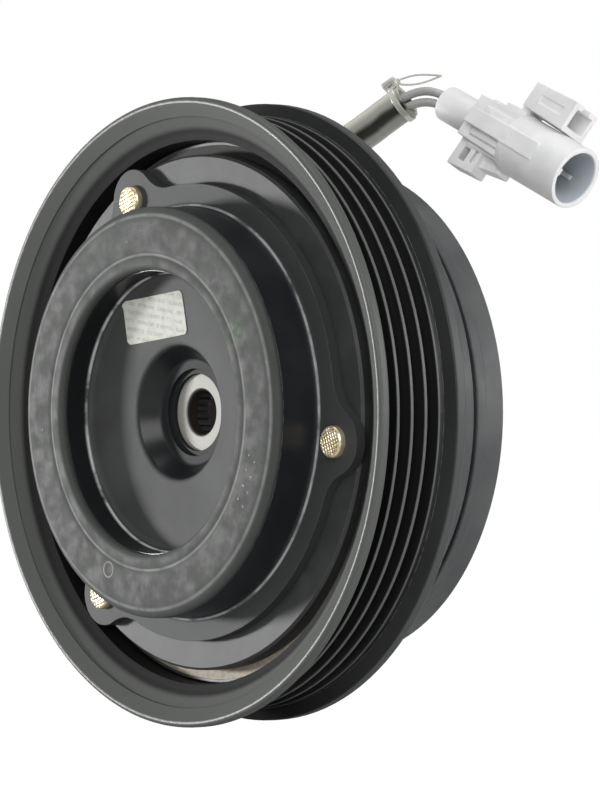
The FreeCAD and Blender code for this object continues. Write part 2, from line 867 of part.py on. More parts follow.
def make_damper_case():
    """The cup round the rubber, with a flange that has a lobe for each rivet."""
    cup = turned("damper_case_cup", [
        ("case_inner", "case_back"),
        ("case_flange_radius", "case_back"),
        ("case_flange_radius", "case_base"),
        ("case_outer", "case_base"),
        ("case_outer", "case_front"),
        ("case_inner", "case_front"),
    ])
    round_edges(cup, "case_corner", [("case_outer", "case_base")], "case_fillet")
    bore = Part.Wire(Part.makeCircle(amount("case_flange_bore"), Vector(), ALONG_AXIS))
    outline = Part.Face([lobed_outline(), bore])
    flange = doc.addObject("Part::Feature", "damper_case_flange")
    outline.translate(Vector(0, -amount("case_base"), 0))
    flange.Shape = outline.extrude(Vector(0, amount("case_base - case_back"), 0))
    whole = doc.addObject("Part::Fuse", "damper_case_whole")
    whole.Base = cup
    whole.Tool = flange
    case = doc.addObject("Part::Cut", "damper_case_drilled")
    case.Base = whole
    case.Tool = rivet_cylinders("case_rivet_holes", "rivet_hole", "case_base", "case_back")
    keep(case, "damper_case")


def rivet_cylinders(name, radius, front, back):
    """One cylinder at each lobe, between two stations."""
    length = amount(front) - amount(back)
    solids = []
    for angle in lobe_angles():
        foot = round_place(amount("lobe_circle"), angle, amount(front))
        solids.append(Part.makeCylinder(amount(radius), length, foot, ALONG_AXIS))
    node = doc.addObject("Part::Feature", name)
    node.Shape = Part.makeCompound(solids)
    return node


def make_armature():
    body = turned("armature_blank", [
        ("armature_bore", "armature_back"),
        ("armature_radius", "armature_back"),
        ("armature_radius", "case_back - armature_chamfer"),
        ("armature_radius - armature_chamfer", "case_back"),
        ("armature_bore", "case_back"),
    ])
    cut_slots(body, "armature_slots", "armature_slot_inner", "armature_slot_outer", "armature_back",
              "case_back", "armature_slot_angle", "armature_slot_count")
    shanks = rivet_cylinders("armature_rivet_holes", "rivet_hole", "case_back", "armature_back")
    sinks = rivet_cylinders("armature_rivet_sinks", "rivet_tail_radius + rivet_sink_gap",
                            "armature_back + rivet_tail_depth", "armature_back")
    drills = doc.addObject("Part::MultiFuse", "armature_drills")
    drills.Shapes = [shanks, sinks]
    plate = doc.addObject("Part::Cut", "armature_plate")
    plate.Base = body
    plate.Tool = drills
    keep(plate, "armature_plate")


def make_rivets():
    rivets = []
    face = amount("case_base")
    tail_front = amount("armature_back + rivet_tail_depth")
    tail_back = amount("armature_back + rivet_tail_clear")
    top = amount("case_base + rivet_head_height")
    circle = amount("lobe_circle")
    for angle in lobe_angles():
        head = Part.makeCylinder(amount("rivet_head_radius"), top - face, round_place(circle, angle, top),
                                 ALONG_AXIS)
        crown = [edge for edge in head.Edges
                 if len(edge.Vertexes) == 1 and abs(edge.CenterOfMass.y + top) < SAME_PLACE]
        head = head.makeFillet(amount("rivet_head_round"), crown)
        shank = Part.makeCylinder(amount("rivet_shank"), face - tail_back,
                                  round_place(circle, angle, face), ALONG_AXIS)
        tail = Part.makeCylinder(amount("rivet_tail_radius"), tail_front - tail_back,
                                 round_place(circle, angle, tail_front), ALONG_AXIS)
        rivets.append(head.fuse([shank, tail]).removeSplitter())
    node = doc.addObject("Part::Feature", "armature_rivets")
    node.Shape = Part.makeCompound(rivets)
    keep(node, "armature_rivets")


def make_hub_label():
    """A paper label that follows the dished floor of the hub plate."""
    skin = turned("label_skin", [
        ("well_lip", "well_lip_station"),
        ("plate_wall_inner", "dish_corner_station"),
        ("plate_wall_inner", "dish_corner_station + label_thickness"),
        ("well_lip", "well_lip_station + label_thickness"),
    ])
    card = doc.addObject("Part::Box", "label_card")
    card.setExpression("Length", bound("label_width"))
    card.setExpression("Width", bound("label_cut_depth"))
    card.setExpression("Height", bound("label_height"))
    tilt = Rotation(ALONG_AXIS, -amount("label_tilt"))
    front = -amount("well_lip_station") - amount("label_cut_depth") / 2
    centre = Vector(amount("label_across"), front, amount("label_up"))
    half = Vector(amount("label_width") / 2, 0, amount("label_height") / 2)
    card.Placement = Placement(centre - tilt.multVec(half), tilt)
    label = doc.addObject("Part::Common", "hub_label")
    label.Base = skin
    label.Tool = card
    keep(label, "hub_label")


def lead_path(route):
    """Straight runs through the route's points, joined by tangent arcs, and the arcs' radii."""
    points = [Vector(*point) for point in route]
    edges = []
    radii = []
    start = points[0]
    for before, corner, after in zip(points, points[1:], points[2:]):
        inward = (before - corner).normalize()
        outward = (after - corner).normalize()
        half_turn = (math.pi - inward.getAngle(outward)) / 2
        reach = ARC_SHARE * min((before - corner).Length, (after - corner).Length)
        radius = reach / math.tan(half_turn)
        entry = corner + inward * reach
        leave = corner + outward * reach
        bisector = (inward + outward).normalize()
        middle = corner + bisector * (radius / math.cos(half_turn) - radius)
        edges.append(Part.LineSegment(start, entry).toShape())
        edges.append(Part.Arc(entry, middle, leave).toShape())
        radii.append(radius)
        start = leave
    edges.append(Part.LineSegment(start, points[-1]).toShape())
    return Part.Wire(edges), radii


def swept(path, radius):
    """A round solid swept along a path, checked against its section times its length."""
    first = path.Edges[0]
    heading = first.tangentAt(first.FirstParameter)
    circle = Part.Wire(Part.makeCircle(radius, first.Vertexes[0].Point, heading))
    solid = path.makePipeShell([circle], True, True)
    expected = math.pi * radius ** 2 * path.Length
    if abs(solid.Volume - expected) > VOLUME_SHARE * expected:
        raise RuntimeError("a swept tube has the wrong volume")
    return solid


def offset_route(offset):
    """The lead's route moved sideways, with its two ends still in the route's end planes."""
    points = [Vector(*point) for point in LEAD_ROUTE]
    moved = [point + offset for point in points]
    first = (points[1] - points[0]).normalize()
    last = (points[-1] - points[-2]).normalize()
    moved[0] -= first * offset.dot(first)
    moved[-1] -= last * offset.dot(last)
    return moved


def make_lead():
    for name, side in (("lead_wire_a", 1), ("lead_wire_b", -1)):
        lift = side * amount("wire_offset")
        path, radii = lead_path(offset_route(Vector(0, 0, lift)))
        node = doc.addObject("Part::Feature", name)
        node.Shape = swept(path, amount("wire_radius"))
        keep(node, name)
        print(name, "length", round(path.Length, 2), "arc radii", [round(radius, 1) for radius in radii])
    path, radii = lead_path(LEAD_ROUTE[:SLEEVE_POINTS])
    sleeve = doc.addObject("Part::Feature", "lead_sleeve")
    sleeve.Shape = swept(path, amount("sleeve_radius")).cut(swept(path, amount("sleeve_bore")))
    keep(sleeve, "lead_sleeve")
    print("lead_sleeve length", round(path.Length, 2), "arc radii", [round(radius, 1) for radius in radii])


def make_grommet():
    """The moulded block that carries the lead through the shell, with a tapered snout."""
    left = amount("grommet_left")
    block = Part.makeBox(amount("grommet_width"), amount("grommet_depth"), amount("grommet_rise"),
                         Vector(left, -amount("grommet_depth"), amount("grommet_floor")))
    top = amount("grommet_floor") + amount("grommet_rise")
    rim = [edge for edge in block.Edges if abs(edge.CenterOfMass.z - top) < SAME_PLACE]
    block = block.makeFillet(amount("grommet_round"), rim)
    mouth = Vector(*LEAD_ROUTE[0])
    heading = (Vector(*LEAD_ROUTE[1]) - mouth).normalize()
    length = amount("snout_length")
    foot = mouth - heading * length
    snout = Part.makeCone(amount("snout_base"), amount("snout_tip"), length, foot, heading)
    node = doc.addObject("Part::Feature", "lead_grommet")
    node.Shape = block.fuse(snout).removeSplitter()
    keep(node, "lead_grommet")


def make_sleeve_tie():
    """A nylon tie round the sleeve's end: band, head and cut tail."""
    end = Vector(*LEAD_ROUTE[SLEEVE_POINTS - 1])
    heading = (end - Vector(*LEAD_ROUTE[SLEEVE_POINTS - 2])).normalize()
    outer = amount("sleeve_radius") + amount("tie_thickness")
    foot = end - heading * amount("tie_setback")
    width = amount("tie_width")
    band = Part.makeCylinder(outer, width, foot, heading)
    bore = amount("sleeve_radius + tie_clearance")
    band = band.cut(Part.makeCylinder(bore, width, foot, heading))
    up = (Vector(0, 0, 1) - heading * heading.z).normalize()
    side = heading.cross(up)
    size = amount("tie_head")
    turn = Rotation(heading, side, up, "XYZ")
    lift = amount("sleeve_radius + tie_head_gap") + size / 2
    seat = foot + heading * (width / 2) + up * lift
    half = Vector(size / 2, size / 2, size / 2)
    head = Part.makeBox(size, size, size)
    head.Placement = Placement(seat - turn.multVec(half), turn)
    tail_way = Vector(TIE_TAIL_WAY).normalize()
    tail_side = Vector(0, 0, 1).cross(tail_way).normalize()
    tail_turn = Rotation(tail_way, tail_side, tail_way.cross(tail_side), "XYZ")
    length = amount("tie_tail_length")
    thin = amount("tie_tail_thickness")
    tail = Part.makeBox(length, thin, width)
    tail.Placement = Placement(seat - tail_turn.multVec(Vector(0, thin / 2, width / 2)), tail_turn)
    node = doc.addObject("Part::Feature", "sleeve_tie")
    node.Shape = band.fuse([head, tail]).removeSplitter()
    keep(node, "sleeve_tie")


def connector_frame():
    """The connector's own frame: +X to its mouth, +Y to its clip, +Z to its latch."""
    turn = Rotation(amount("connector_yaw"), amount("connector_pitch"), amount("connector_roll"))
    rear = Vector(*LEAD_ROUTE[-1]) - turn.multVec(Vector(amount("wire_seal_inset"), 0, 0))
    return Placement(rear, turn)


def connector_box(name, start, end, low, high, bottom, top):
    """A box in the connector's frame, from sums of sheet sizes."""
    box = doc.addObject("Part::Box", name)
    origin = Vector(amount(start), amount(low), amount(bottom))
    box.Length = amount(end) - origin.x
    box.Width = amount(high) - origin.y
    box.Height = amount(top) - origin.z
    box.Placement = connector_frame().multiply(Placement(origin, Rotation()))
    return box


def connector_rod(name, radius, start, end):
    """A cylinder on the connector's axis."""
    rod = doc.addObject("Part::Cylinder", name)
    rod.setExpression("Radius", bound(radius))
    rod.Height = amount(end) - amount(start)
    lay = Rotation(Vector(0, 0, 1), Vector(1, 0, 0))
    rod.Placement = connector_frame().multiply(Placement(Vector(amount(start), 0, 0), lay))
    return rod


def make_connector():
    block = connector_box("body_block", "body_start", "body_end", "0 - body_half_width", "body_half_width",
                          "0 - body_half_height", "body_half_height")
    soft = doc.addObject("Part::Fillet", "body_soft")
    soft.Base = block
    doc.recompute()
    radius = amount("body_round")
    soft.Edges = [(index, radius, radius) for index in range(1, len(block.Shape.Edges) + 1)]
    solids = [
        soft,
        connector_rod("cable_barrel", "barrel_radius", "0", "barrel_length"),
        connector_rod("mouth_tube", "shroud_tube_radius", "shroud_tube_start", "connector_length"),
        connector_rod("mouth_collar", "collar_radius", "shroud_tube_start",
                      "shroud_tube_start + collar_width"),
        connector_box("latch_arm", "latch_start", "latch_end", "0 - latch_half_width", "latch_half_width",
                      "body_half_height - latch_sink", "body_half_height + latch_thickness"),
        connector_box("side_lug", "lug_start", "lug_end", "0 - lug_reach",
                      "0 - body_half_width + lug_sink", "0 - lug_half_height", "lug_half_height"),
    ]
    solid = doc.addObject("Part::MultiFuse", "connector_solid")
    solid.Shapes = solids
    cutters = [
        connector_rod("mouth_bore", "shroud_tube_bore", "shroud_tube_floor", "connector_length + overcut"),
        connector_rod("seal_bore", "seal_radius", "0 - overcut", "wire_seal_depth"),
        connector_box("lug_slot_cut", "lug_start + lug_wall", "lug_end - lug_wall",
                      "0 - lug_reach + lug_wall", "0 - body_half_width", "0 - lug_half_height - overcut",
                      "lug_half_height + overcut"),
    ]
    hollow = doc.addObject("Part::MultiFuse", "connector_hollows")
    hollow.Shapes = cutters
    shell = doc.addObject("Part::Cut", "connector_shell")
    shell.Base = solid
    shell.Tool = hollow
    key = connector_box("mouth_key", "shroud_tube_floor", "connector_length - key_setback",
                        "0 - key_width", "0", "shroud_tube_bore - key_depth", "shroud_tube_bore + key_sink")
    housing = doc.addObject("Part::Fuse", "connector_keyed")
    housing.Base = shell
    housing.Tool = key
    blades = blade_boxes("blade_hole_")
    sockets = doc.addObject("Part::MultiFuse", "blade_holes")
    sockets.Shapes = blades
    pierced = doc.addObject("Part::Cut", "connector_housing")
    pierced.Base = housing
    pierced.Tool = sockets
    keep(pierced, "connector_housing")


def blade_boxes(prefix):
    """The two terminal blades, from the wire seal to their tips in the mouth."""
    boxes = []
    for index, side in enumerate((-1, 1)):
        middle = side * amount("blade_offset")
        half = amount("blade_width") / 2
        thin = amount("blade_thickness") / 2
        boxes.append(connector_box(prefix + str(index + 1), "wire_seal_depth", "blade_tip",
                                   str(middle - half), str(middle + half), str(-thin), str(thin)))
    return boxes


def make_connector_fittings():
    blades = doc.addObject("Part::Compound", "connector_terminals")
    blades.Links = blade_boxes("blade_")
    keep(blades, "connector_terminals")
    keep(connector_rod("wire_seal", "seal_radius", "wire_seal_inset", "wire_seal_depth"), "wire_seal")
    outer = connector_box("clip_block", "clip_start", "clip_end", "clip_foot", "clip_reach",
                          "0 - clip_half_height", "clip_half_height")
    inner = connector_box("clip_pocket", "clip_start + clip_floor", "clip_end + overcut",
                          "clip_foot + clip_wall", "clip_reach - clip_wall",
                          "0 - clip_half_height + clip_wall", "clip_half_height - clip_wall")
    slot = connector_box("clip_slot", "clip_start + clip_floor", "clip_end + overcut",
                         "clip_reach - clip_wall - overcut", "clip_reach + overcut",
                         "0 - clip_slot_half", "clip_slot_half")
    foot = connector_box("clip_foot_block", "clip_start - clip_foot_sink",
                         "shroud_tube_start - clip_foot_gap", "body_half_width",
                         "clip_foot + clip_foot_sink", "0 - clip_foot_half", "clip_foot_half")
    block = doc.addObject("Part::Fuse", "clip_solid")
    block.Base = outer
    block.Tool = foot
    hollow = doc.addObject("Part::MultiFuse", "clip_hollows")
    hollow.Shapes = [inner, slot]
    clip = doc.addObject("Part::Cut", "connector_clip")
    clip.Base = block
    clip.Tool = hollow
    keep(clip, "connector_clip")


def check_document():
    """Stop if any object failed, or any sub-part has no valid solid."""
    doc.recompute()
    for obj in doc.Objects:
        if "Invalid" in obj.State or "Error" in obj.State:
            raise RuntimeError("%s did not recompute: %s" % (obj.Name, obj.State))
    labels = [node.Label for node in nodes]
    if len(labels) != len(set(labels)):
        raise RuntimeError("two sub-parts share a name")
    for node in nodes:
        if node.Shape.isNull() or not node.Shape.isValid() or not node.Shape.Solids:
            raise RuntimeError("%s has no valid solid" % node.Label)


def write_parts():
    os.makedirs("parts", exist_ok=True)
    for node in nodes:
        node.Shape.exportStep("parts/%s.step" % node.Label)
        print("%-24s %2d solids %10.1f mm3" % (node.Label, len(node.Shape.Solids), node.Shape.Volume))


fill_sheet()
make_pulley_rim()
make_rotor()
make_bearing()
make_field_shell()
make_mounting_plate()
make_coil()
make_hub_boss()
make_hub_plate()
make_damper_rubber()
make_damper_case()
make_armature()
make_rivets()
make_hub_label()
make_grommet()
make_lead()
make_sleeve_tie()
make_connector()
make_connector_fittings()
check_document()
write_parts()
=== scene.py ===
import json
import math

import bmesh
import bpy
from mathutils import Matrix, Vector, noise


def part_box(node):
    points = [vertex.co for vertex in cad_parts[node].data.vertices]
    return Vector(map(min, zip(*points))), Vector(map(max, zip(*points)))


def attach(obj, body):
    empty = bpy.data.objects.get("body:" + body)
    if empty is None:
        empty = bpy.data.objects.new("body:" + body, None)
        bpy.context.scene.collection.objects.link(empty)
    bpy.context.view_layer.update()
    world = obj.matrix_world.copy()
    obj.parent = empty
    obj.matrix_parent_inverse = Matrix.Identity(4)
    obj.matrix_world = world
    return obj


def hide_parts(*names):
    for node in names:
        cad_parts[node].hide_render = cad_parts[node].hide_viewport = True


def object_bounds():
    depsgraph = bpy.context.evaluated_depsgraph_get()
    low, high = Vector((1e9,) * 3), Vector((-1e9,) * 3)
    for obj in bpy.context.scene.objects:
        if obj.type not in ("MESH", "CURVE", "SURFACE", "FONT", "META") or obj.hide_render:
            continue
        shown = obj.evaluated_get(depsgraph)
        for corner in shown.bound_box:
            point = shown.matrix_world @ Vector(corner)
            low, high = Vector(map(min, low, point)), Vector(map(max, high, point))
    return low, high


# The looks of an air-conditioning compressor's electromagnetic clutch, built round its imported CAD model.
# The clutch axis is Y, the hub faces -Y and +Z is up. A station is a distance ahead of the mounting face,
# so a point at station s has y = -s. Pieces are modelled in millimetres and then scaled to metres.

MM = 0.001

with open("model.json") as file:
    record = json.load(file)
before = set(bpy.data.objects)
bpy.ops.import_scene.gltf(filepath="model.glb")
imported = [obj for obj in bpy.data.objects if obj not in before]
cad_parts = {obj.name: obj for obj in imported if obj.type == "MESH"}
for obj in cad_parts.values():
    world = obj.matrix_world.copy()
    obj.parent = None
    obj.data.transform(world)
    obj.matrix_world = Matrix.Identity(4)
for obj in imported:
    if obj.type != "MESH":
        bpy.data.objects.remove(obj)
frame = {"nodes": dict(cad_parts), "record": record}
nodes = frame["nodes"]
cad_low, cad_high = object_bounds()
mounts = {mount["name"]: mount for mount in frame["record"]["mounts"]}


# ---------------------------------------------------------------- sizes taken from the frame

def reach(node):
    """How far a node turned about the clutch axis reaches from it, in millimetres."""
    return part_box(node)[1].x / MM


def front(node):
    """The station of a node's front, in millimetres."""
    return -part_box(node)[0].y / MM


def back(node):
    """The station of a node's back, in millimetres."""
    return -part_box(node)[1].y / MM


# ---------------------------------------------------------------- materials

class Finish:
    """A node material being built: one Principled shader and the patterns that feed it."""

    def __init__(self, name, colour, roughness, **sockets):
        self.material = bpy.data.materials.new(name)
        self.material.use_nodes = True
        self.tree = self.material.node_tree
        self.shader = self.tree.nodes["Principled BSDF"]
        self.place = self.node("ShaderNodeTexCoord").outputs["Object"]
        self.colour = colour
        self.set("Base Color", colour)
        self.set("Roughness", roughness)
        for socket, value in sockets.items():
            self.set(socket.replace("_", " "), value)

    def node(self, kind, **options):
        made = self.tree.nodes.new(kind)
        for option, value in options.items():
            setattr(made, option, value)
        return made

    def feed(self, socket, value):
        """Put a number, a colour or another node's output into a socket."""
        if isinstance(value, bpy.types.NodeSocket):
            self.tree.links.new(value, socket)
        elif hasattr(value, "__len__") and len(value) == 3 and len(socket.default_value) == 4:
            socket.default_value = (*value, 1.0)
        else:
            socket.default_value = value

    def set(self, socket, value):
        self.feed(self.shader.inputs[socket], value)

    def math(self, operation, first, second=0.0):
        made = self.node("ShaderNodeMath", operation=operation)
        self.feed(made.inputs[0], first)
        self.feed(made.inputs[1], second)
        return made.outputs[0]

    def ramp(self, value, low, high, start=0.0, end=1.0):
        """Start below low, end above high and a smooth change between."""
        made = self.node("ShaderNodeMapRange", interpolation_type="SMOOTHSTEP")
        for socket, number in zip(("Value", "From Min", "From Max", "To Min", "To Max"),
                                  (value, low, high, start, end)):
            self.feed(made.inputs[socket], number)
        return made.outputs["Result"]

    def band(self, value, low, high, soft):
        """1 between low and high, 0 outside, with soft ends."""
        rise = self.ramp(value, low - soft, low + soft)
        fall = self.ramp(value, high - soft, high + soft, 1.0, 0.0)
        return self.math("MULTIPLY", rise, fall)

    def patchy(self, mask, grain, low, high, start=0.0, end=1.0):
        """Break a mask up with noise."""
        return self.math("MULTIPLY", mask, self.ramp(self.speckle(grain), low, high, start, end))

    def mix(self, first, second, factor):
        made = self.node("ShaderNodeMix", data_type="RGBA")
        self.feed(made.inputs[0], factor)
        self.feed(made.inputs[6], first)
        self.feed(made.inputs[7], second)
        return made.outputs[2]

    def speckle(self, grain, detail=4.0, stretch=(1, 1, 1)):
        """Noise whose features are about grain millimetres across."""
        scaled = self.node("ShaderNodeVectorMath", operation="MULTIPLY")
        self.feed(scaled.inputs[0], self.place)
        scaled.inputs[1].default_value = stretch
        made = self.node("ShaderNodeTexNoise")
        self.feed(made.inputs["Vector"], scaled.outputs[0])
        made.inputs["Scale"].default_value = 1.0 / (grain * MM)
        made.inputs["Detail"].default_value = detail
        return made.outputs["Fac"]

    def radius(self):
        """The distance from the clutch axis, in metres."""
        flat = self.node("ShaderNodeVectorMath", operation="MULTIPLY")
        self.feed(flat.inputs[0], self.place)
        flat.inputs[1].default_value = (1, 0, 1)
        length = self.node("ShaderNodeVectorMath", operation="LENGTH")
        self.feed(length.inputs[0], flat.outputs[0])
        return length.outputs["Value"]

    def along(self, axis):
        """One coordinate of the row frame, in metres."""
        made = self.node("ShaderNodeSeparateXYZ")
        self.feed(made.inputs[0], self.place)
        return made.outputs[axis]

    def station(self):
        return self.math("MULTIPLY", self.along("Y"), -1.0)

    def turning(self, grain):
        """Rings left by a lathe, as noise that changes only with radius and station."""
        made = self.node("ShaderNodeTexNoise")
        joined = self.node("ShaderNodeCombineXYZ")
        self.feed(joined.inputs[0], self.radius())
        self.feed(joined.inputs[1], self.station())
        self.feed(made.inputs["Vector"], joined.outputs[0])
        made.inputs["Scale"].default_value = 1.0 / (grain * MM)
        made.inputs["Detail"].default_value = 3.0
        return made.outputs["Fac"]

    def soft_edges(self, width):
        """A shading normal that rounds edges over a width in millimetres."""
        made = self.node("ShaderNodeBevel", samples=6)
        made.inputs["Radius"].default_value = width * MM
        return made.outputs["Normal"]

    def edges(self, width):
        """1 on sharp edges and 0 on open faces."""
        dot = self.node("ShaderNodeVectorMath", operation="DOT_PRODUCT")
        self.feed(dot.inputs[0], self.soft_edges(width))
        self.feed(dot.inputs[1], self.node("ShaderNodeNewGeometry").outputs["Normal"])
        return self.ramp(dot.outputs["Value"], 0.99, 0.86)

    def relief(self, height, depth, edge_width=0.15, strength=1.0):
        """Give the surface small heights, depth millimetres high, over rounded edges."""
        bump = self.node("ShaderNodeBump")
        bump.inputs["Strength"].default_value = strength
        bump.inputs["Distance"].default_value = depth * MM
        self.feed(bump.inputs["Height"], height)
        self.feed(bump.inputs["Normal"], self.soft_edges(edge_width))
        self.set("Normal", bump.outputs["Normal"])

    def cloud(self, other, grain, low=0.35, high=0.7):
        """Drift the base colour towards another one in soft patches."""
        self.colour = self.mix(self.colour, other, self.ramp(self.speckle(grain), low, high))
        self.set("Base Color", self.colour)

    def tint(self, other, mask):
        """Lay another colour over the base colour where a mask is 1."""
        self.colour = self.mix(self.colour, other, mask)
        self.set("Base Color", self.colour)

    def vary_roughness(self, low, high, grain):
        self.set("Roughness", self.ramp(self.speckle(grain), 0.3, 0.7, low, high))


def enamel(name, colour, dusty, roughness, worn=(0.16, 0.16, 0.155)):
    """Black paint on steel: an orange-peel gloss, dust in patches and paint rubbed thin on edges."""
    finish = Finish(name, colour, roughness, Specular_IOR_Level=0.35)
    finish.cloud(dusty, 14.0)
    finish.tint(worn, finish.patchy(finish.edges(0.25), 1.5, 0.35, 0.6))
    finish.vary_roughness(roughness - 0.06, roughness + 0.08, 5.0)
    finish.relief(finish.speckle(0.7, 3.0), 0.012, 0.2)
    return finish


# Material masks work in metres. The ribs lie between these stations, and a sharp mask fades over this
# width.
RIBS_BACK = 0.0262
RIBS_FRONT = 0.0406
SHARP = 0.0001


def pulley_paint():
    """Black enamel: painted shade darkens it between the ribs, painted highlights run along the rib tops and
    the rear flange's back edge, and both flanges are dusty.
    """
    finish = enamel("pulley_paint", (0.009, 0.0095, 0.0097), (0.014, 0.015, 0.015), 0.42)
    radius = finish.radius()
    station = finish.station()
    ribs = finish.band(station, RIBS_BACK, RIBS_FRONT, SHARP)
    depth = finish.ramp(radius, 0.0585, 0.0607, 1.0, 0.0)
    # Painted shade: the hollows between the ribs are darkened.
    groove_shade = finish.ramp(radius, 0.0604, 0.0608, 1.0, 0.0)
    finish.tint((0.003, 0.003, 0.0035), finish.math("MULTIPLY", ribs, groove_shade))
    # Painted highlight: a pale line along the top of each rib.
    crest_highlight = finish.math("MULTIPLY", ribs, finish.ramp(radius, 0.0607, 0.06085))
    finish.tint((0.1, 0.103, 0.102), crest_highlight)
    finish.set("Roughness", finish.math("ADD", 0.42, finish.math("MULTIPLY", 0.25, depth)))
    rear_flange = finish.ramp(station, 0.0232, 0.024, 0.85, 0.0)
    finish.tint((0.07, 0.074, 0.075), rear_flange)
    # Painted highlight: a pale, patchy line along the rear flange's back edge.
    rear_edge_highlight = finish.band(station, 0.0213, 0.0216, SHARP)
    finish.tint((0.2, 0.205, 0.205), finish.patchy(rear_edge_highlight, 6.0, 0.25, 0.6))
    lip = finish.ramp(station, 0.0405, 0.0412)
    finish.tint((0.09, 0.095, 0.088), finish.math("MULTIPLY", lip, 0.9))
    return finish.material


def rotor_paint():
    """Grey enamel over turned steel."""
    finish = enamel("rotor_paint", (0.075, 0.08, 0.082), (0.1, 0.105, 0.107), 0.42)
    finish.relief(finish.turning(0.25), 0.01, 0.2)
    return finish.material


def case_paint():
    """Gloss black on the cup, dusty on its flange, with a painted highlight line where they meet."""
    finish = enamel("case_paint", (0.014, 0.016, 0.019), (0.024, 0.026, 0.028), 0.34)
    station = finish.station()
    flange = finish.ramp(station, 0.0413, 0.0417, 1.0, 0.0)
    finish.tint((0.05, 0.053, 0.05), finish.math("MULTIPLY", flange, 0.75))
    # Painted highlight: a pale, patchy line where cup and flange meet.
    crease_highlight = finish.math("MULTIPLY", finish.band(station, 0.0413, 0.0418, SHARP),
                         finish.band(finish.radius(), 0.0414, 0.0424, SHARP))
    finish.tint((0.34, 0.35, 0.35), finish.patchy(crease_highlight, 7.0, 0.3, 0.6))
    finish.set("Roughness", finish.math("ADD", 0.34, finish.math("MULTIPLY", flange, 0.32)))
    return finish.material


def hub_paint():
    """A matt dish between a glossy wall and a glossy well, with a painted highlight line where dish and wall
    meet.
    """
    finish = enamel("hub_paint", (0.042, 0.045, 0.043), (0.06, 0.064, 0.061), 0.62)
    radius = finish.radius()
    wall = finish.ramp(radius, 0.0276, 0.0283)
    well = finish.ramp(radius, 0.0134, 0.0142, 1.0, 0.0)
    glossy = finish.math("MAXIMUM", wall, well)
    finish.tint((0.01, 0.011, 0.012), glossy)
    # Painted highlight: a pale, patchy line where dish and wall meet.
    corner_highlight = finish.band(radius, 0.0282, 0.02845, SHARP)
    finish.tint((0.45, 0.46, 0.45), finish.patchy(corner_highlight, 5.0, 0.3, 0.55))
    sloped = finish.math("MAXIMUM", wall, finish.math("MULTIPLY", well, finish.ramp(radius, 0.0108, 0.0112)))
    finish.set("Roughness", finish.math("SUBTRACT", 0.66, finish.math("MULTIPLY", sloped, 0.38)))
    return finish.material


def shell_paint():
    return enamel("shell_paint", (0.07, 0.074, 0.076), (0.095, 0.1, 0.1), 0.42).material


def armature_steel():
    """Dark phosphated steel with turning marks."""
    finish = Finish("armature_steel", (0.028, 0.03, 0.029), 0.54, Specular_IOR_Level=0.4)
    finish.cloud((0.04, 0.043, 0.041), 6.0)
    finish.tint((0.12, 0.12, 0.115), finish.edges(0.25))
    finish.relief(finish.turning(0.3), 0.012)
    return finish.material


def friction_material():
    """A pale moulded lining, with painted shade darkening it everywhere above the bottom, where it shows."""
    finish = Finish("friction_material", (0.62, 0.56, 0.46), 0.78)
    finish.cloud((0.48, 0.42, 0.33), 1.2)
    # Painted shade: the lining darkens upwards from the bottom.
    finish.tint((0.05, 0.048, 0.045), finish.ramp(finish.along("Z"), -0.042, -0.022))
    finish.relief(finish.speckle(0.25), 0.05)
    return finish.material


def moulded_rubber():
    """Matt black rubber, greyed by mould release, with a stain of green assembly paint, painted highlight
    lines on its rounded edges and painted shade on its outer side.
    """
    finish = Finish("moulded_rubber", (0.045, 0.048, 0.045), 0.68, Specular_IOR_Level=0.4)
    finish.cloud((0.052, 0.056, 0.052), 9.0, 0.3, 0.75)
    finish.tint((0.1, 0.105, 0.1), finish.ramp(finish.speckle(0.5, 6.0), 0.62, 0.8, 0.0, 0.5))
    mark = Vector((0.0289, -front("damper_rubber") * MM, 0.0158))
    offset = finish.node("ShaderNodeVectorMath", operation="DISTANCE")
    finish.feed(offset.inputs[0], finish.place)
    offset.inputs[1].default_value = mark
    spot = finish.ramp(offset.outputs["Value"], 0.0005, 0.0042, 0.7, 0.0)
    finish.tint((0.07, 0.13, 0.06), finish.patchy(spot, 1.6, 0.4, 0.6))
    radius = finish.radius()
    # Painted highlight: pale, patchy lines on the rounding of the outer shoulder and of the inner lip.
    rolled = finish.math("MAXIMUM", finish.band(radius, 0.0397, 0.0403, 0.0003),
                         finish.band(radius, 0.0317, 0.0322, SHARP))
    finish.tint((0.17, 0.175, 0.17), finish.patchy(rolled, 4.0, 0.25, 0.6, 0.35, 1.0))
    shaded_side = finish.ramp(finish.station(), 0.0495, 0.0512, 1.0, 0.0)
    finish.tint((0.01, 0.011, 0.011), shaded_side)
    finish.vary_roughness(0.6, 0.74, 3.0)
    finish.relief(finish.speckle(0.35, 6.0), 0.03)
    return finish.material


def bare_steel(name, colour, roughness, rust=0.0):
    """Bare turned metal, bright on its edges, with a share of rust spots."""
    finish = Finish(name, colour, roughness, Metallic=0.9)
    finish.cloud([0.8 * part for part in colour], 3.0)
    finish.tint((0.16, 0.09, 0.05), finish.ramp(finish.speckle(2.2), 0.6, 0.75, 0.0, rust))
    finish.tint([min(1.0, 1.3 * part) for part in colour], finish.edges(0.15))
    finish.relief(finish.turning(0.12), 0.008)
    return finish.material


def rivet_metal():
    """Yellow-passivated zinc on the rivets, browned in spots."""
    finish = Finish("rivet_metal", (0.85, 0.76, 0.55), 0.3, Metallic=0.75)
    finish.cloud((0.62, 0.5, 0.3), 1.5)
    finish.tint((0.2, 0.14, 0.08), finish.ramp(finish.speckle(1.1), 0.6, 0.75, 0.0, 0.5))
    finish.relief(finish.speckle(0.2), 0.01, 0.05)
    return finish.material


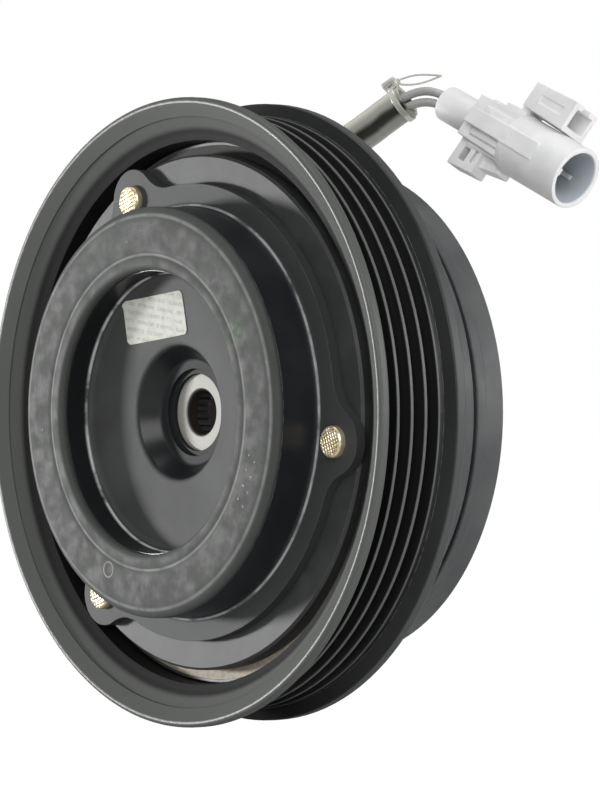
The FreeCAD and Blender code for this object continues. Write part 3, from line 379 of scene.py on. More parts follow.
def boss_metal():
    """A machined pale face round the bolt hole, over darker turned steel, with painted shade darkening the
    splined bore.
    """
    finish = Finish("boss_metal", (0.06, 0.06, 0.06), 0.45, Specular_IOR_Level=0.25)
    finish.cloud((0.035, 0.036, 0.037), 2.0)
    face = finish.math("MULTIPLY", finish.ramp(finish.station(), 0.0374, 0.0377),
                       finish.ramp(finish.radius(), 0.00465, 0.005))
    finish.tint((0.29, 0.285, 0.25), face)
    # Painted shade: the splined bore is darkened and made rougher.
    shaded_inside = finish.ramp(finish.radius(), 0.0046, 0.0049, 1.0, 0.0)
    finish.tint((0.016, 0.011, 0.009), shaded_inside)
    finish.set("Roughness", finish.math("ADD", 0.45, finish.math("MULTIPLY", shaded_inside, 0.35)))
    finish.relief(finish.turning(0.2), 0.012)
    return finish.material


def polished_steel():
    """Bearing steel, with an oily brown bore."""
    finish = Finish("polished_steel", (0.55, 0.56, 0.57), 0.16, Specular_IOR_Level=0.2)
    finish.cloud((0.48, 0.48, 0.48), 4.0)
    bore = finish.ramp(finish.radius(), 0.01755, 0.0178, 1.0, 0.0)
    finish.tint((0.05, 0.03, 0.022), bore)
    finish.set("Metallic", finish.math("SUBTRACT", 1.0, bore))
    finish.set("Roughness", finish.math("ADD", 0.16, finish.math("MULTIPLY", bore, 0.5)))
    finish.relief(finish.turning(0.1), 0.004, 0.2)
    return finish.material


def plastic(name, colour, other, roughness, grain=0.3, depth=0.015, **sockets):
    """Moulded plastic or rubber with a fine spark-eroded grain."""
    finish = Finish(name, colour, roughness, **sockets)
    finish.cloud(other, 5.0)
    finish.tint([min(1.0, 1.25 * part) for part in colour], finish.edges(0.12))
    finish.vary_roughness(roughness - 0.05, roughness + 0.08, 2.0)
    finish.relief(finish.speckle(grain, 4.0), depth, 0.12)
    return finish.material


def zinc_plate():
    """Dull zinc plating in cloudy patches."""
    finish = Finish("zinc_plate", (0.42, 0.42, 0.41), 0.42, Metallic=0.85)
    finish.cloud((0.3, 0.305, 0.31), 2.5)
    finish.tint((0.5, 0.5, 0.46), finish.edges(0.3))
    finish.vary_roughness(0.34, 0.55, 1.5)
    finish.relief(finish.speckle(0.5), 0.01, 0.2)
    return finish.material


def copper_wire():
    """Enamelled copper wire, with the turns of the winding as relief."""
    finish = Finish("copper_wire", (0.5, 0.2, 0.09), 0.3, Metallic=0.7, Coat_Weight=0.5)
    finish.cloud((0.36, 0.14, 0.06), 2.0)
    finish.relief(finish.turning(0.4), 0.15)
    return finish.material


def sleeve_vinyl():
    """A smoky glossy tube, with painted shade in bands along its near side: a dark stripe down its middle
    and darker bands beside it.
    """
    finish = Finish("sleeve_vinyl", (0.55, 0.54, 0.48), 0.2, Coat_Weight=0.6, Coat_Roughness=0.08)
    around = finish.node("ShaderNodeAttribute", attribute_name="around").outputs["Fac"]
    wobble = finish.math("MULTIPLY", finish.math("SUBTRACT", finish.speckle(6.0), 0.5), 0.05)
    angle = finish.math("ADD", around, wobble)
    # Painted shade: darker bands and a dark middle stripe along the near side of the tube.
    finish.tint((0.3, 0.3, 0.27), finish.band(angle, 0.15, 0.5, 0.05))
    finish.tint((0.03, 0.03, 0.024), finish.band(angle, 0.245, 0.355, 0.03))
    finish.tint((0.06, 0.06, 0.05), finish.band(angle, 0.7, 0.82, 0.04))
    finish.relief(finish.speckle(1.2), 0.02, 0.1)
    return finish.material


# The bars on the label, in millimetres: how long each is, how far apart their rows are, and the gaps
# round them.
PRINT_BAR = 6.2
PRINT_ROW = 1.75
PRINT_GAP = 0.55


def label_paper():
    """A coated label with faint bars in place of print."""
    finish = Finish("label_paper", (0.62, 0.62, 0.57), 0.8, Specular_IOR_Level=0.15)
    finish.cloud((0.54, 0.545, 0.5), 2.0)
    rows = finish.node("ShaderNodeTexBrick", offset=0.5, squash=1.0)
    turned = finish.node("ShaderNodeMapping")
    finish.feed(turned.inputs["Vector"], finish.place)
    turned.inputs["Rotation"].default_value = (math.radians(90), 0, math.radians(-8))
    finish.feed(rows.inputs["Vector"], turned.outputs["Vector"])
    finish.feed(rows.inputs["Color1"], (0.0, 0.0, 0.0))
    finish.feed(rows.inputs["Color2"], (0.25, 0.25, 0.25))
    finish.feed(rows.inputs["Mortar"], (1.0, 1.0, 1.0))
    for socket, number in (("Scale", 1 / MM), ("Mortar Size", PRINT_GAP), ("Mortar Smooth", 0.3),
                           ("Brick Width", PRINT_BAR), ("Row Height", PRINT_ROW)):
        rows.inputs[socket].default_value = number
    bars = finish.ramp(rows.outputs["Color"], 0.2, 0.9, 0.45, 0.0)
    finish.tint((0.3, 0.305, 0.3), finish.patchy(bars, 0.7, 0.35, 0.6, 0.2, 1.0))
    finish.relief(finish.speckle(0.4), 0.01, 0.1)
    return finish.material


def connector_plastic():
    """Pale grey moulded plastic, with painted shade deep in the round mouth."""
    finish = Finish("connector_plastic", (0.77, 0.77, 0.77), 0.46, Subsurface_Weight=0.05,
                    Subsurface_Scale=0.002)
    finish.cloud((0.83, 0.83, 0.83), 6.0)
    finish.tint((0.6, 0.6, 0.6), finish.ramp(finish.speckle(1.0, 6.0), 0.66, 0.8, 0.0, 0.4))
    # Painted shade: a bluish grey over the marked deep part of the mouth.
    shaded_inside = finish.node("ShaderNodeAttribute", attribute_name="shaded_inside").outputs["Fac"]
    finish.tint((0.5, 0.54, 0.58), finish.ramp(shaded_inside, 0.2, 0.8))
    finish.vary_roughness(0.38, 0.55, 2.0)
    finish.relief(finish.speckle(0.35), 0.012, 0.12)
    return finish.material


FINISHES = {
    "pulley_rim": pulley_paint(),
    "rotor": rotor_paint(),
    "damper_case": case_paint(),
    "hub_plate": hub_paint(),
    "field_shell": shell_paint(),
    "armature_plate": armature_steel(),
    "friction_lining": friction_material(),
    "hub_boss": boss_metal(),
    "locating_pin": bare_steel("pin_steel", (0.5, 0.49, 0.46), 0.35, 0.3),
    "mounting_plate": zinc_plate(),
    "hub_label": label_paper(),
    "coil_winding": copper_wire(),
    "coil_bobbin": plastic("bobbin_plastic", (0.03, 0.03, 0.032), (0.045, 0.045, 0.047), 0.5),
    "coil_potting": plastic("potting_resin", (0.035, 0.028, 0.022), (0.05, 0.042, 0.035), 0.3,
                            grain=4.0, depth=0.1, Coat_Weight=0.4),
    "connector_terminals": bare_steel("terminal_tin", (0.72, 0.66, 0.5), 0.25),
    "wire_seal": plastic("seal_silicone", (0.3, 0.11, 0.05), (0.36, 0.14, 0.07), 0.45),
}
RACE_FINISH = polished_steel()
for race in ("bearing_inner_race", "bearing_outer_race", "bearing_balls"):
    FINISHES[race] = RACE_FINISH
SEAL_FINISH = plastic("seal_rubber", (0.16, 0.06, 0.03), (0.2, 0.085, 0.05), 0.5)
for seal in ("bearing_seal_front", "bearing_seal_rear"):
    FINISHES[seal] = SEAL_FINISH
CAGE_FINISH = plastic("cage_nylon", (0.5, 0.44, 0.27), (0.56, 0.5, 0.34), 0.42)
for cage in ("ball_cage_front", "ball_cage_rear"):
    FINISHES[cage] = CAGE_FINISH
SPRING_FINISH = bare_steel("spring_steel", (0.22, 0.22, 0.23), 0.32)
for ring in ("bearing_retaining_ring", "air_gap_shim"):
    FINISHES[ring] = SPRING_FINISH
for name, material in FINISHES.items():
    nodes[name].data.materials.clear()
    nodes[name].data.materials.append(material)


# ---------------------------------------------------------------- mesh helpers, in millimetres

def object_of(name, data):
    made = bpy.data.objects.new(name, data)
    bpy.context.scene.collection.objects.link(made)
    return made


def settle(obj):
    """Apply an object's modifiers to its mesh."""
    bpy.context.view_layer.update()
    evaluated = obj.evaluated_get(bpy.context.evaluated_depsgraph_get())
    mesh = bpy.data.meshes.new_from_object(evaluated)
    obj.modifiers.clear()
    obj.data = mesh
    return obj


def shade(obj, angle=35):
    """Smooth shading, with edges sharper than the angle kept."""
    for face in obj.data.polygons:
        face.use_smooth = True
    obj.data.set_sharp_from_angle(angle=math.radians(angle))


def finish_piece(obj, material, body, slot, *stands_for):
    """Scale a piece from millimetres to metres, paint it and fix it to its body."""
    obj.data.transform(Matrix.Scale(MM, 4))
    obj.data.materials.clear()
    obj.data.materials.append(material)
    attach(obj, body)
    if stands_for:
        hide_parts(*stands_for)
    return obj


def lathe(name, outline, steps=256):
    """A closed ring turned about the clutch axis from (radius, station) points."""
    bm = bmesh.new()
    rows = []
    for index in range(steps):
        turn = 2 * math.pi * index / steps
        across = Vector((math.cos(turn), 0, math.sin(turn)))
        rows.append([bm.verts.new(across * radius + Vector((0, -station, 0)))
                     for radius, station in outline])
    for index, row in enumerate(rows):
        after = rows[(index + 1) % steps]
        for first in range(len(outline)):
            second = (first + 1) % len(outline)
            bm.faces.new((row[first], row[second], after[second], after[first]))
    bmesh.ops.recalc_face_normals(bm, faces=bm.faces)
    return object_from(bm, name)


def quarter(start, end, steps=8):
    """Points on a quarter ellipse from start to end that leaves start along the station's direction."""
    points = []
    for index in range(1, steps):
        turn = math.pi / 2 * index / steps
        radius = start[0] + (end[0] - start[0]) * (1 - math.cos(turn))
        station = start[1] + (end[1] - start[1]) * math.sin(turn)
        points.append((radius, station))
    return [start, *points, end]


def box_mesh(low, high, slope=(0, 0)):
    """A box as a bmesh. The slope pulls in the two Y faces at its low and high X ends."""
    bm = bmesh.new()
    bmesh.ops.create_cube(bm, size=1)
    middle = (Vector(low) + Vector(high)) / 2
    spread = Vector(high) - Vector(low)
    for vert in bm.verts:
        vert.co = middle + Vector([part * size for part, size in zip(vert.co, spread)])
        pull = slope[0] if vert.co.x < middle.x else slope[1]
        vert.co.y -= math.copysign(pull, vert.co.y - middle.y)
    return bm


def rod_mesh(radius, start, end, far_radius=None, centre=(0, 0), steps=64):
    """A rod or cone along X as a bmesh."""
    bm = bmesh.new()
    bmesh.ops.create_cone(bm, cap_ends=True, segments=steps, radius1=radius,
                          radius2=radius if far_radius is None else far_radius, depth=end - start)
    turn = Matrix.Rotation(math.radians(90), 4, "Y")
    bmesh.ops.transform(bm, matrix=turn, verts=bm.verts)
    for vert in bm.verts:
        vert.co += Vector(((start + end) / 2, *centre))
    return bm


def bridge(bm, ring, after):
    """A band of faces between two closed rings of vertices."""
    for step, vert in enumerate(ring):
        following = (step + 1) % len(ring)
        bm.faces.new((vert, ring[following], after[following], after[step]))


def object_from(bm, name):
    """Turn a bmesh into an object and free it."""
    mesh = bpy.data.meshes.new(name)
    bm.to_mesh(mesh)
    bm.free()
    return object_of(name, mesh)


def moulded(name, solids, hollows, voxel, rounds):
    """Join solids, cut the hollows out and soften every edge, as a moulding has them."""
    base = object_from(solids[0], name)
    steps = [(solid, "UNION") for solid in solids[1:]] + [(hollow, "DIFFERENCE") for hollow in hollows]
    for bm, operation in steps:
        tool = object_from(bm, "tool")
        join = base.modifiers.new("join", "BOOLEAN")
        join.object = tool
        join.operation = operation
        join.solver = "EXACT"
        settle(base)
        bpy.data.objects.remove(tool)
    remesh = base.modifiers.new("remesh", "REMESH")
    remesh.mode = "VOXEL"
    remesh.voxel_size = voxel
    smooth = base.modifiers.new("smooth", "SMOOTH")
    smooth.factor = 0.5
    smooth.iterations = rounds
    settle(base)
    for face in base.data.polygons:
        face.use_smooth = True
    return base


# ---------------------------------------------------------------- the lead

# The lead's route from the grommet to the connector's seal, and how it is made up, in millimetres. The
# sleeve follows the first few of the route's points.
LEAD_ROUTE = [
    (-7.4, 2.2, 53.7),
    (-1.6, 5.7, 57.9),
    (4.1, 9.1, 62.6),
    (7.32, 11.0, 65.0),
    (11.0, 12.5, 65.9),
    (14.9, 13.5, 65.15),
    (17.68, 13.83, 63.82),
]
SLEEVE_POINTS = 4
SLEEVE_RADIUS = 3.65
SLEEVE_BORE = 2.9
WIRE_RADIUS = 0.9
WIRE_OFFSET = 1.15


def spline_of(name, points, bevel=0.0):
    """A NURBS curve with the points as its control points, in metres."""
    curve = bpy.data.curves.new(name, "CURVE")
    curve.dimensions = "3D"
    curve.bevel_depth = bevel
    curve.bevel_resolution = 6
    curve.resolution_u = 24
    curve.use_fill_caps = True
    spline = curve.splines.new("NURBS")
    spline.points.add(len(points) - 1)
    for point, place in zip(spline.points, points):
        point.co = (*(MM * Vector(place)), 1.0)
    spline.order_u = 3
    spline.use_endpoint_u = True
    return object_of(name, curve)


def line_of(points):
    """The smooth line of a route, as points in millimetres."""
    guide = spline_of("guide", points)
    bpy.context.view_layer.update()
    mesh = bpy.data.meshes.new_from_object(guide.evaluated_get(bpy.context.evaluated_depsgraph_get()))
    line = [vert.co / MM for vert in mesh.vertices]
    bpy.data.objects.remove(guide)
    bpy.data.meshes.remove(mesh)
    return line


def wire_points(side):
    """The route moved sideways, with its two ends still in the route's end planes."""
    points = [Vector(point) for point in LEAD_ROUTE]
    offset = Vector((0, 0, side * WIRE_OFFSET))
    moved = [point + offset for point in points]
    first = (points[1] - points[0]).normalized()
    last = (points[-1] - points[-2]).normalized()
    moved[0] -= first * offset.dot(first)
    moved[-1] -= last * offset.dot(last)
    return moved


def make_sleeve():
    """The vinyl tube over the wires, with a wall, an open end and a slightly uneven cut."""
    line = line_of(LEAD_ROUTE[:SLEEVE_POINTS])
    steps = 64
    bm = bmesh.new()
    around = bm.verts.layers.float.new("around")
    rings = []
    stations = [(index, SLEEVE_RADIUS) for index in range(len(line))]
    stations += [(index, SLEEVE_BORE) for index in reversed(range(len(line)))]
    for index, radius in stations:
        ahead = line[min(index + 1, len(line) - 1)] - line[max(index - 1, 0)]
        ahead.normalize()
        up = (Vector((0, 0, 1)) - ahead * ahead.z).normalized()
        side = ahead.cross(up)
        ring = []
        for step in range(steps):
            turn = 2 * math.pi * step / steps
            way = up * math.cos(turn) + side * math.sin(turn)
            place = line[index] + way * radius
            if index == len(line) - 1:
                place += ahead * 0.12 * noise.noise(way * 2.3)
            vert = bm.verts.new(place)
            vert[around] = step / steps
            ring.append(vert)
        rings.append(ring)
    for index, ring in enumerate(rings):
        bridge(bm, ring, rings[(index + 1) % len(rings)])
    bmesh.ops.recalc_face_normals(bm, faces=bm.faces)
    sleeve = object_from(bm, "sleeve_tube")
    rim = sleeve.modifiers.new("rim", "BEVEL")
    rim.width = 0.15
    rim.segments = 2
    rim.limit_method = "ANGLE"
    settle(sleeve)
    shade(sleeve, 50)
    return finish_piece(sleeve, sleeve_vinyl(), "field", "sleeve_vinyl", "lead_sleeve")


# How far the tie sits back from the sleeve's end, the width of its band, and where its looped tail points.
TIE_SETBACK = 2.0
TIE_WIDTH = 1.3
TIE_TAIL_WAY = Vector((0.62, 0.77, 0.15))
TIE_TAIL_LENGTH = 10.4
TIE_TAIL_THICKNESS = 0.2


def strand(name, points, thickness):
    """A thin round strand through the points, as a mesh in millimetres."""
    thread = spline_of(name, points, thickness * MM)
    bpy.context.view_layer.update()
    mesh = bpy.data.meshes.new_from_object(thread.evaluated_get(bpy.context.evaluated_depsgraph_get()))
    mesh.transform(Matrix.Scale(1 / MM, 4))
    bpy.data.objects.remove(thread)
    made = object_of(name, mesh)
    shade(made, 60)
    return made


def make_tie():
    """The clear nylon tie: a band round the sleeve, a knotted head and a thin loop for a tail."""
    end = Vector(LEAD_ROUTE[SLEEVE_POINTS - 1])
    heading = (end - Vector(LEAD_ROUTE[SLEEVE_POINTS - 2])).normalized()
    up = (Vector((0, 0, 1)) - heading * heading.z).normalized()
    side = heading.cross(up)
    local = Matrix((heading, side, up)).transposed().to_4x4()
    local.translation = end - heading * (TIE_SETBACK - TIE_WIDTH / 2)
    half = TIE_WIDTH / 2
    lift = SLEEVE_RADIUS + 0.05
    band = moulded(
        "tie_band",
        [
            rod_mesh(SLEEVE_RADIUS + 0.4, -half, half),
            box_mesh((-1.3, -1.1, lift - 0.3), (1.3, 1.1, lift + 1.5)),
            rod_mesh(0.9, -1.5, 1.5, centre=(0.3, lift + 1.4)),
            rod_mesh(0.7, -1.1, 1.9, centre=(-0.7, lift + 1.0)),
        ],
        [
            rod_mesh(SLEEVE_RADIUS + 0.05, -half - 1, half + 1),
            box_mesh((-0.5, -3, lift + 0.5), (0.6, 3, lift + 0.9)),
        ],
        0.11,
        4,
    )
    band.data.transform(local)
    way = TIE_TAIL_WAY.normalized()
    across = way.cross(Vector((0.77, -0.63, 0.0))).normalized()
    foot = local @ Vector((0.6, 0, lift + 1.2))
    tip = foot + way * TIE_TAIL_LENGTH
    strands = []
    for name, bow in (("tie_loop_upper", 0.75), ("tie_loop_lower", -0.75)):
        route = [foot]
        for share, spread in ((0.15, 0.7), (0.4, 1.3), (0.65, 1.1), (0.85, 0.5)):
            route.append(foot + way * (TIE_TAIL_LENGTH * share) + across * (bow * spread))
        strands.append(strand(name, [*route, tip], TIE_TAIL_THICKNESS))
    nylon = plastic("tie_nylon", (0.6, 0.6, 0.55), (0.5, 0.5, 0.46), 0.2, Transmission_Weight=0.25)
    finish_piece(band, nylon, "field", "nylon", "sleeve_tie")
    for piece in strands:
        finish_piece(piece, nylon, "field", "nylon")
    return [band, *strands]


# ---------------------------------------------------------------- the connector

# The connector's yaw, pitch and roll in degrees, then its sizes in millimetres.
CONNECTOR_TURN = (6.9, 25.4, 67.6)
CONNECTOR_LENGTH = 38.7
MOUTH_FLOOR = 24.5
BARREL_RADIUS = 3.75
TUBE_RADIUS = 6.6
TUBE_BORE = 5.5


def connector_frame():
    """The connector's own frame in millimetres: +X to its mouth, +Y to its clip, +Z to its latch."""
    yaw, pitch, roll = [math.radians(angle) for angle in CONNECTOR_TURN]
    turn = Matrix.Rotation(yaw, 4, "Z") @ Matrix.Rotation(pitch, 4, "Y") @ Matrix.Rotation(roll, 4, "X")
    mouth = Vector(mounts["connector_mouth"]["pos_m"]) / MM
    turn.translation = mouth - turn.to_3x3() @ Vector((CONNECTOR_LENGTH, 0, 0))
    return turn


def make_connector():
    """The housing: cable barrel, stepped body, latch arm, slotted lug, ribs and the round mouth."""
    solids = [
        rod_mesh(BARREL_RADIUS, 0.0, 12.5),
        rod_mesh(BARREL_RADIUS, 8.5, 13.5, 5.0),
        box_mesh((9.8, -5.0, -5.0), (23.5, 5.4, 4.6), (0.5, 0.0)),
        box_mesh((12.5, -5.5, -3.6), (22.5, 5.5, 3.4)),
        box_mesh((13.0, -3.4, 3.8), (24.0, 3.4, 5.2)),
        rod_mesh(TUBE_RADIUS, 21.6, CONNECTOR_LENGTH),
        rod_mesh(TUBE_RADIUS + 0.1, 21.5, 23.1),
        box_mesh((11.0, -2.3, 5.2), (31.0, 2.3, 6.6), (0.5, 0.3)),
        box_mesh((24.0, -1.0, 5.6), (30.5, 1.0, 6.6)),
        box_mesh((10.6, -10.7, -2.0), (17.3, -4.8, 3.1), (0.0, 0.4)),
        box_mesh((12.0, -9.0, -3.1), (22.0, -4.8, 1.4), (0.0, 1.4)),
        box_mesh((17.0, -6.3, -1.6), (25.5, -4.8, 1.6), (0.0, 0.5)),
        box_mesh((15.5, 5.0, -3.0), (21.2, 6.6, 3.0), (0.3, 0.0)),
    ]
    hollows = [
        rod_mesh(TUBE_BORE, MOUTH_FLOOR, CONNECTOR_LENGTH + 1, TUBE_BORE + 0.1),
        rod_mesh(3.0, -1.0, 4.0),
        box_mesh((10.0, -2.6, 5.0), (15.0, 2.6, 5.45)),
        box_mesh((12.4, -8.9, -4.0), (14.2, -6.0, 4.0)),
        box_mesh((15.4, -8.4, 1.9), (16.4, -5.6, 4.0)),
    ]
    housing = moulded("connector_body", solids, hollows, 0.15, 3)
    foot = MOUTH_FLOOR - 0.3
    # Marks the deep part of the mouth, where the material paints shade.
    shaded_inside = housing.data.attributes.new("shaded_inside", "FLOAT", "POINT")
    for vert in housing.data.vertices:
        deep = vert.co.x > foot and vert.co.yz.length < TUBE_BORE + 0.3
        shaded_inside.data[vert.index].value = 1.0 if deep and vert.co.x < CONNECTOR_LENGTH - 0.4 else 0.0
    keys = [
        box_mesh((foot, -1.6, TUBE_BORE - 1.4), (CONNECTOR_LENGTH - 0.7, 0.0, TUBE_BORE + 0.3)),
        box_mesh((foot, -0.5, -TUBE_BORE), (CONNECTOR_LENGTH - 5.0, 0.5, -TUBE_BORE + 0.9)),
    ]
    key = moulded("connector_key", keys, [], 0.12, 2)
    clip = moulded(
        "connector_bracket",
        [
            box_mesh((20.0, 6.75, -4.2), (31.8, 13.4, 4.2), (0.5, 0.0)),
            box_mesh((19.0, 5.6, -2.5), (21.3, 7.75, 2.5)),
        ],
        [
            box_mesh((22.0, 8.05, -3.0), (33.0, 12.1, 3.0)),
            box_mesh((24.5, 11.0, -1.4), (33.0, 14.4, 1.4)),
            box_mesh((23.0, 9.3, 3.9), (29.5, 11.0, 5.0)),
        ],
        0.14,
        3,
    )
    frame_matrix = connector_frame()
    finish = connector_plastic()
    for piece in (housing, key, clip):
        piece.data.transform(frame_matrix)
    finish_piece(housing, finish, "field", "connector_plastic", "connector_housing")
    finish_piece(key, finish, "field", "connector_plastic")
    finish_piece(clip, finish, "field", "connector_plastic", "connector_clip")
    return [housing, key, clip]


def make_lead():
    """The sleeve, its tie, the connector and the two wires."""
    sleeve = make_sleeve()
    tie = make_tie()
    connector = make_connector()
    insulation = plastic("wire_insulation", (0.45, 0.45, 0.44), (0.5, 0.5, 0.49), 0.3, Coat_Weight=0.3)
    stands_for = {"wire_a": "lead_wire_a", "wire_b": "lead_wire_b"}
    for name, side in (("wire_a", 1), ("wire_b", -1)):
        points = wire_points(side)
        wire = spline_of(name, points, WIRE_RADIUS * MM)
        wire.data.materials.append(insulation)
        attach(wire, "field")
        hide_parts(stands_for[name])


# ---------------------------------------------------------------- hub, armature and field pieces

def make_rubber():
    """The damper's rubber ring: a flat face, a rolled shoulder, a soft inner lip and moulded marks."""
    face = front("damper_rubber")
    outer = reach("damper_rubber") + 0.2
    inner = 28.8
    shoulder = 38.1
    lip = 50.4
    core = 39.75
    outline = [(30.4, 45.2), (30.4, 50.8), (inner, 50.8)]
    outline += quarter((inner, face - 1.1), (inner + 1.3, face))
    outline += [(31.6, face), (31.8, face - 0.12), (32.2, face - 0.12), (32.4, face)]
    outline += [(33.5, face), (35.0, face), (36.5, face)]
    outline += list(reversed(quarter((outer, lip + 0.15), (shoulder, face), 14)))
    outline += [(outer, lip), (core, lip), (core, 42.4)]
    ring = lathe("rubber_ring", outline, 320)
    shade(ring, 40)
    finish_piece(ring, RUBBER, "hub", "damper_rubber", "damper_rubber")


def raised_dot(bm, radius, angle, size, height, stretch=1.0):
    """A low rounded bump on the rubber's face."""
    face = front("damper_rubber")
    centre = Vector((radius * math.cos(angle), -face, radius * math.sin(angle)))
    out = Vector((math.cos(angle), 0, math.sin(angle)))
    round_way = Vector((-math.sin(angle), 0, math.cos(angle)))
    steps = 20
    rings = []
    for share, lift in ((1.0, -0.1), (0.95, 0.45), (0.75, 0.85), (0.4, 1.0)):
        ring = []
        for step in range(steps):
            turn = 2 * math.pi * step / steps
            place = centre + out * (size * share * math.cos(turn)) * stretch
            place += round_way * (size * share * math.sin(turn))
            ring.append(bm.verts.new(place + Vector((0, -height * lift, 0))))
        rings.append(ring)
    for ring, after in zip(rings, rings[1:]):
        bridge(bm, ring, after)
    bm.faces.new(rings[-1])
    bm.faces.new(rings[0])


# Each bump's radius from the axis, its angle in degrees, its size and its stretch outward.
RUBBER_DOTS = [
    (34.6, -14, 0.32, 1.0),
    (36.6, -15.5, 0.32, 1.0),
    (34.6, -19, 0.32, 1.0),
    (36.4, -20.5, 0.32, 1.6),
    (34.8, -24.5, 0.32, 1.6),
    (36.7, -25.5, 0.32, 1.0),
    (34.6, -29.5, 0.32, 1.0),
    (36.6, -30.5, 0.32, 1.0),
    (35.2, 100, 0.3, 1.0),
    (35.0, 186, 0.3, 1.0),
]
DOT_HEIGHT = 0.05


def make_rubber_marks():
    """Small plain bumps on the rubber's face."""
    bm = bmesh.new()
    for radius, angle, size, stretch in RUBBER_DOTS:
        raised_dot(bm, radius, math.radians(angle), size, DOT_HEIGHT, stretch)
    bmesh.ops.recalc_face_normals(bm, faces=bm.faces)
    marks = object_from(bm, "rubber_marks")
    shade(marks, 60)
    finish_piece(marks, MARK_RUBBER, "hub", "damper_rubber")


EJECTOR_CIRCLE = 34.4
EJECTOR_ANGLE = 249


def ejector_ring():
    """A round moulding mark low on the rubber's face."""
    face = front("damper_rubber")
    angle = math.radians(EJECTOR_ANGLE)
    centre = Vector((EJECTOR_CIRCLE * math.cos(angle), -face, EJECTOR_CIRCLE * math.sin(angle)))
    bm = bmesh.new()
    steps = 48
    section = [(1.75, 0.06), (1.75, -0.03), (1.65, -0.06), (1.45, -0.06), (1.35, -0.03), (1.35, 0.06)]
    rings = []
    for radius, lift in section:
        ring = []
        for step in range(steps):
            turn = 2 * math.pi * step / steps
            place = centre + Vector((radius * math.cos(turn), lift, radius * math.sin(turn)))
            ring.append(bm.verts.new(place))
        rings.append(ring)
    for index, ring in enumerate(rings):
        bridge(bm, ring, rings[(index + 1) % len(rings)])
    bmesh.ops.recalc_face_normals(bm, faces=bm.faces)
    mark = object_from(bm, "ejector_mark")
    shade(mark, 60)
    finish_piece(mark, MARK_RUBBER, "hub", "damper_rubber")


# The rivets' circle, their angles in degrees, the radii of head, shank and foot, and the waffle's grid.
RIVET_CIRCLE = 47.2
RIVET_ANGLES = (113, 233, 353)
RIVET_HEAD = 3.2
RIVET_SHANK = 2.05
RIVET_FOOT = 3.0
WAFFLE_PITCH = 0.78
WAFFLE_DEPTH = 0.24


def make_rivets():
    """The three rivets, with a waffle pattern struck into each head."""
    top = front("armature_rivets")
    seat = top - 1.5
    tail = back("armature_rivets")
    steps = 96
    rings = 44
    bm = bmesh.new()
    for angle in RIVET_ANGLES:
        turn = math.radians(angle)
        centre = Vector((RIVET_CIRCLE * math.cos(turn), 0, RIVET_CIRCLE * math.sin(turn)))
        layers = []
        for index in range(1, rings + 1):
            share = index / rings
            rim = max(0.0, (share - 0.82) / 0.18)
            layers.append((RIVET_HEAD * share, top - 0.5 * rim ** 2, share < 0.88))
        foot = tail + 1.1
        layers += [(RIVET_HEAD, seat, False), (RIVET_SHANK, seat, False), (RIVET_SHANK, foot, False),
                   (RIVET_FOOT, foot, False), (RIVET_FOOT, tail, False)]
        built = []
        for radius, station, struck in layers:
            ring = []
            for step in range(steps):
                way = 2 * math.pi * step / steps
                x, z = radius * math.cos(way), radius * math.sin(way)
                drop = 0.0
                if struck:
                    waves = [abs(math.sin(math.pi * part / WAFFLE_PITCH))
                             for part in (x + 0.35 * z, z - 0.35 * x)]
                    drop = WAFFLE_DEPTH * (1 - min(1.0, 1.7 * min(waves)))
                ring.append(bm.verts.new(centre + Vector((x, -station + drop, z))))
            built.append(ring)
        hub_vert = bm.verts.new(centre + Vector((0, -top, 0)))
        end_vert = bm.verts.new(centre + Vector((0, -tail, 0)))
        for step in range(steps):
            following = (step + 1) % steps
            bm.faces.new((hub_vert, built[0][step], built[0][following]))
            bm.faces.new((end_vert, built[-1][following], built[-1][step]))
            for ring, after in zip(built, built[1:]):
                bm.faces.new((ring[step], after[step], after[following], ring[following]))
    bmesh.ops.recalc_face_normals(bm, faces=bm.faces)
    rivets = object_from(bm, "waffle_rivets")
    shade(rivets, 50)
    finish_piece(rivets, rivet_metal(), "armature", "plain_steel", "armature_rivets")


# The dish of the hub plate under the label: from the well's lip to the wall, as radius and station, and
# the radius of its corner. The label's middle is shifted from the CAD label's, and nothing of it passes
# its limit.
WELL_LIP = (13.7, 43.9)
DISH_CORNER = (28.6, 45.2)
DISH_ROUND = 2.0
LABEL_SIZE = (19.4, 9.0)
LABEL_ROUND = 1.1
LABEL_THICKNESS = 0.12
LABEL_SHIFT = (-0.9, 0.4)
LABEL_TILT = 6.5
LABEL_LIMIT = 27.7


def dish_station(radius):
    """The station of the dish's surface at a radius."""
    slope = (DISH_CORNER[1] - WELL_LIP[1]) / (DISH_CORNER[0] - WELL_LIP[0])
    station = WELL_LIP[1] + (radius - WELL_LIP[0]) * slope
    bend = max(0.0, radius - (DISH_CORNER[0] - DISH_ROUND))
    return station + DISH_ROUND - math.sqrt(max(0.0, DISH_ROUND ** 2 - bend ** 2))


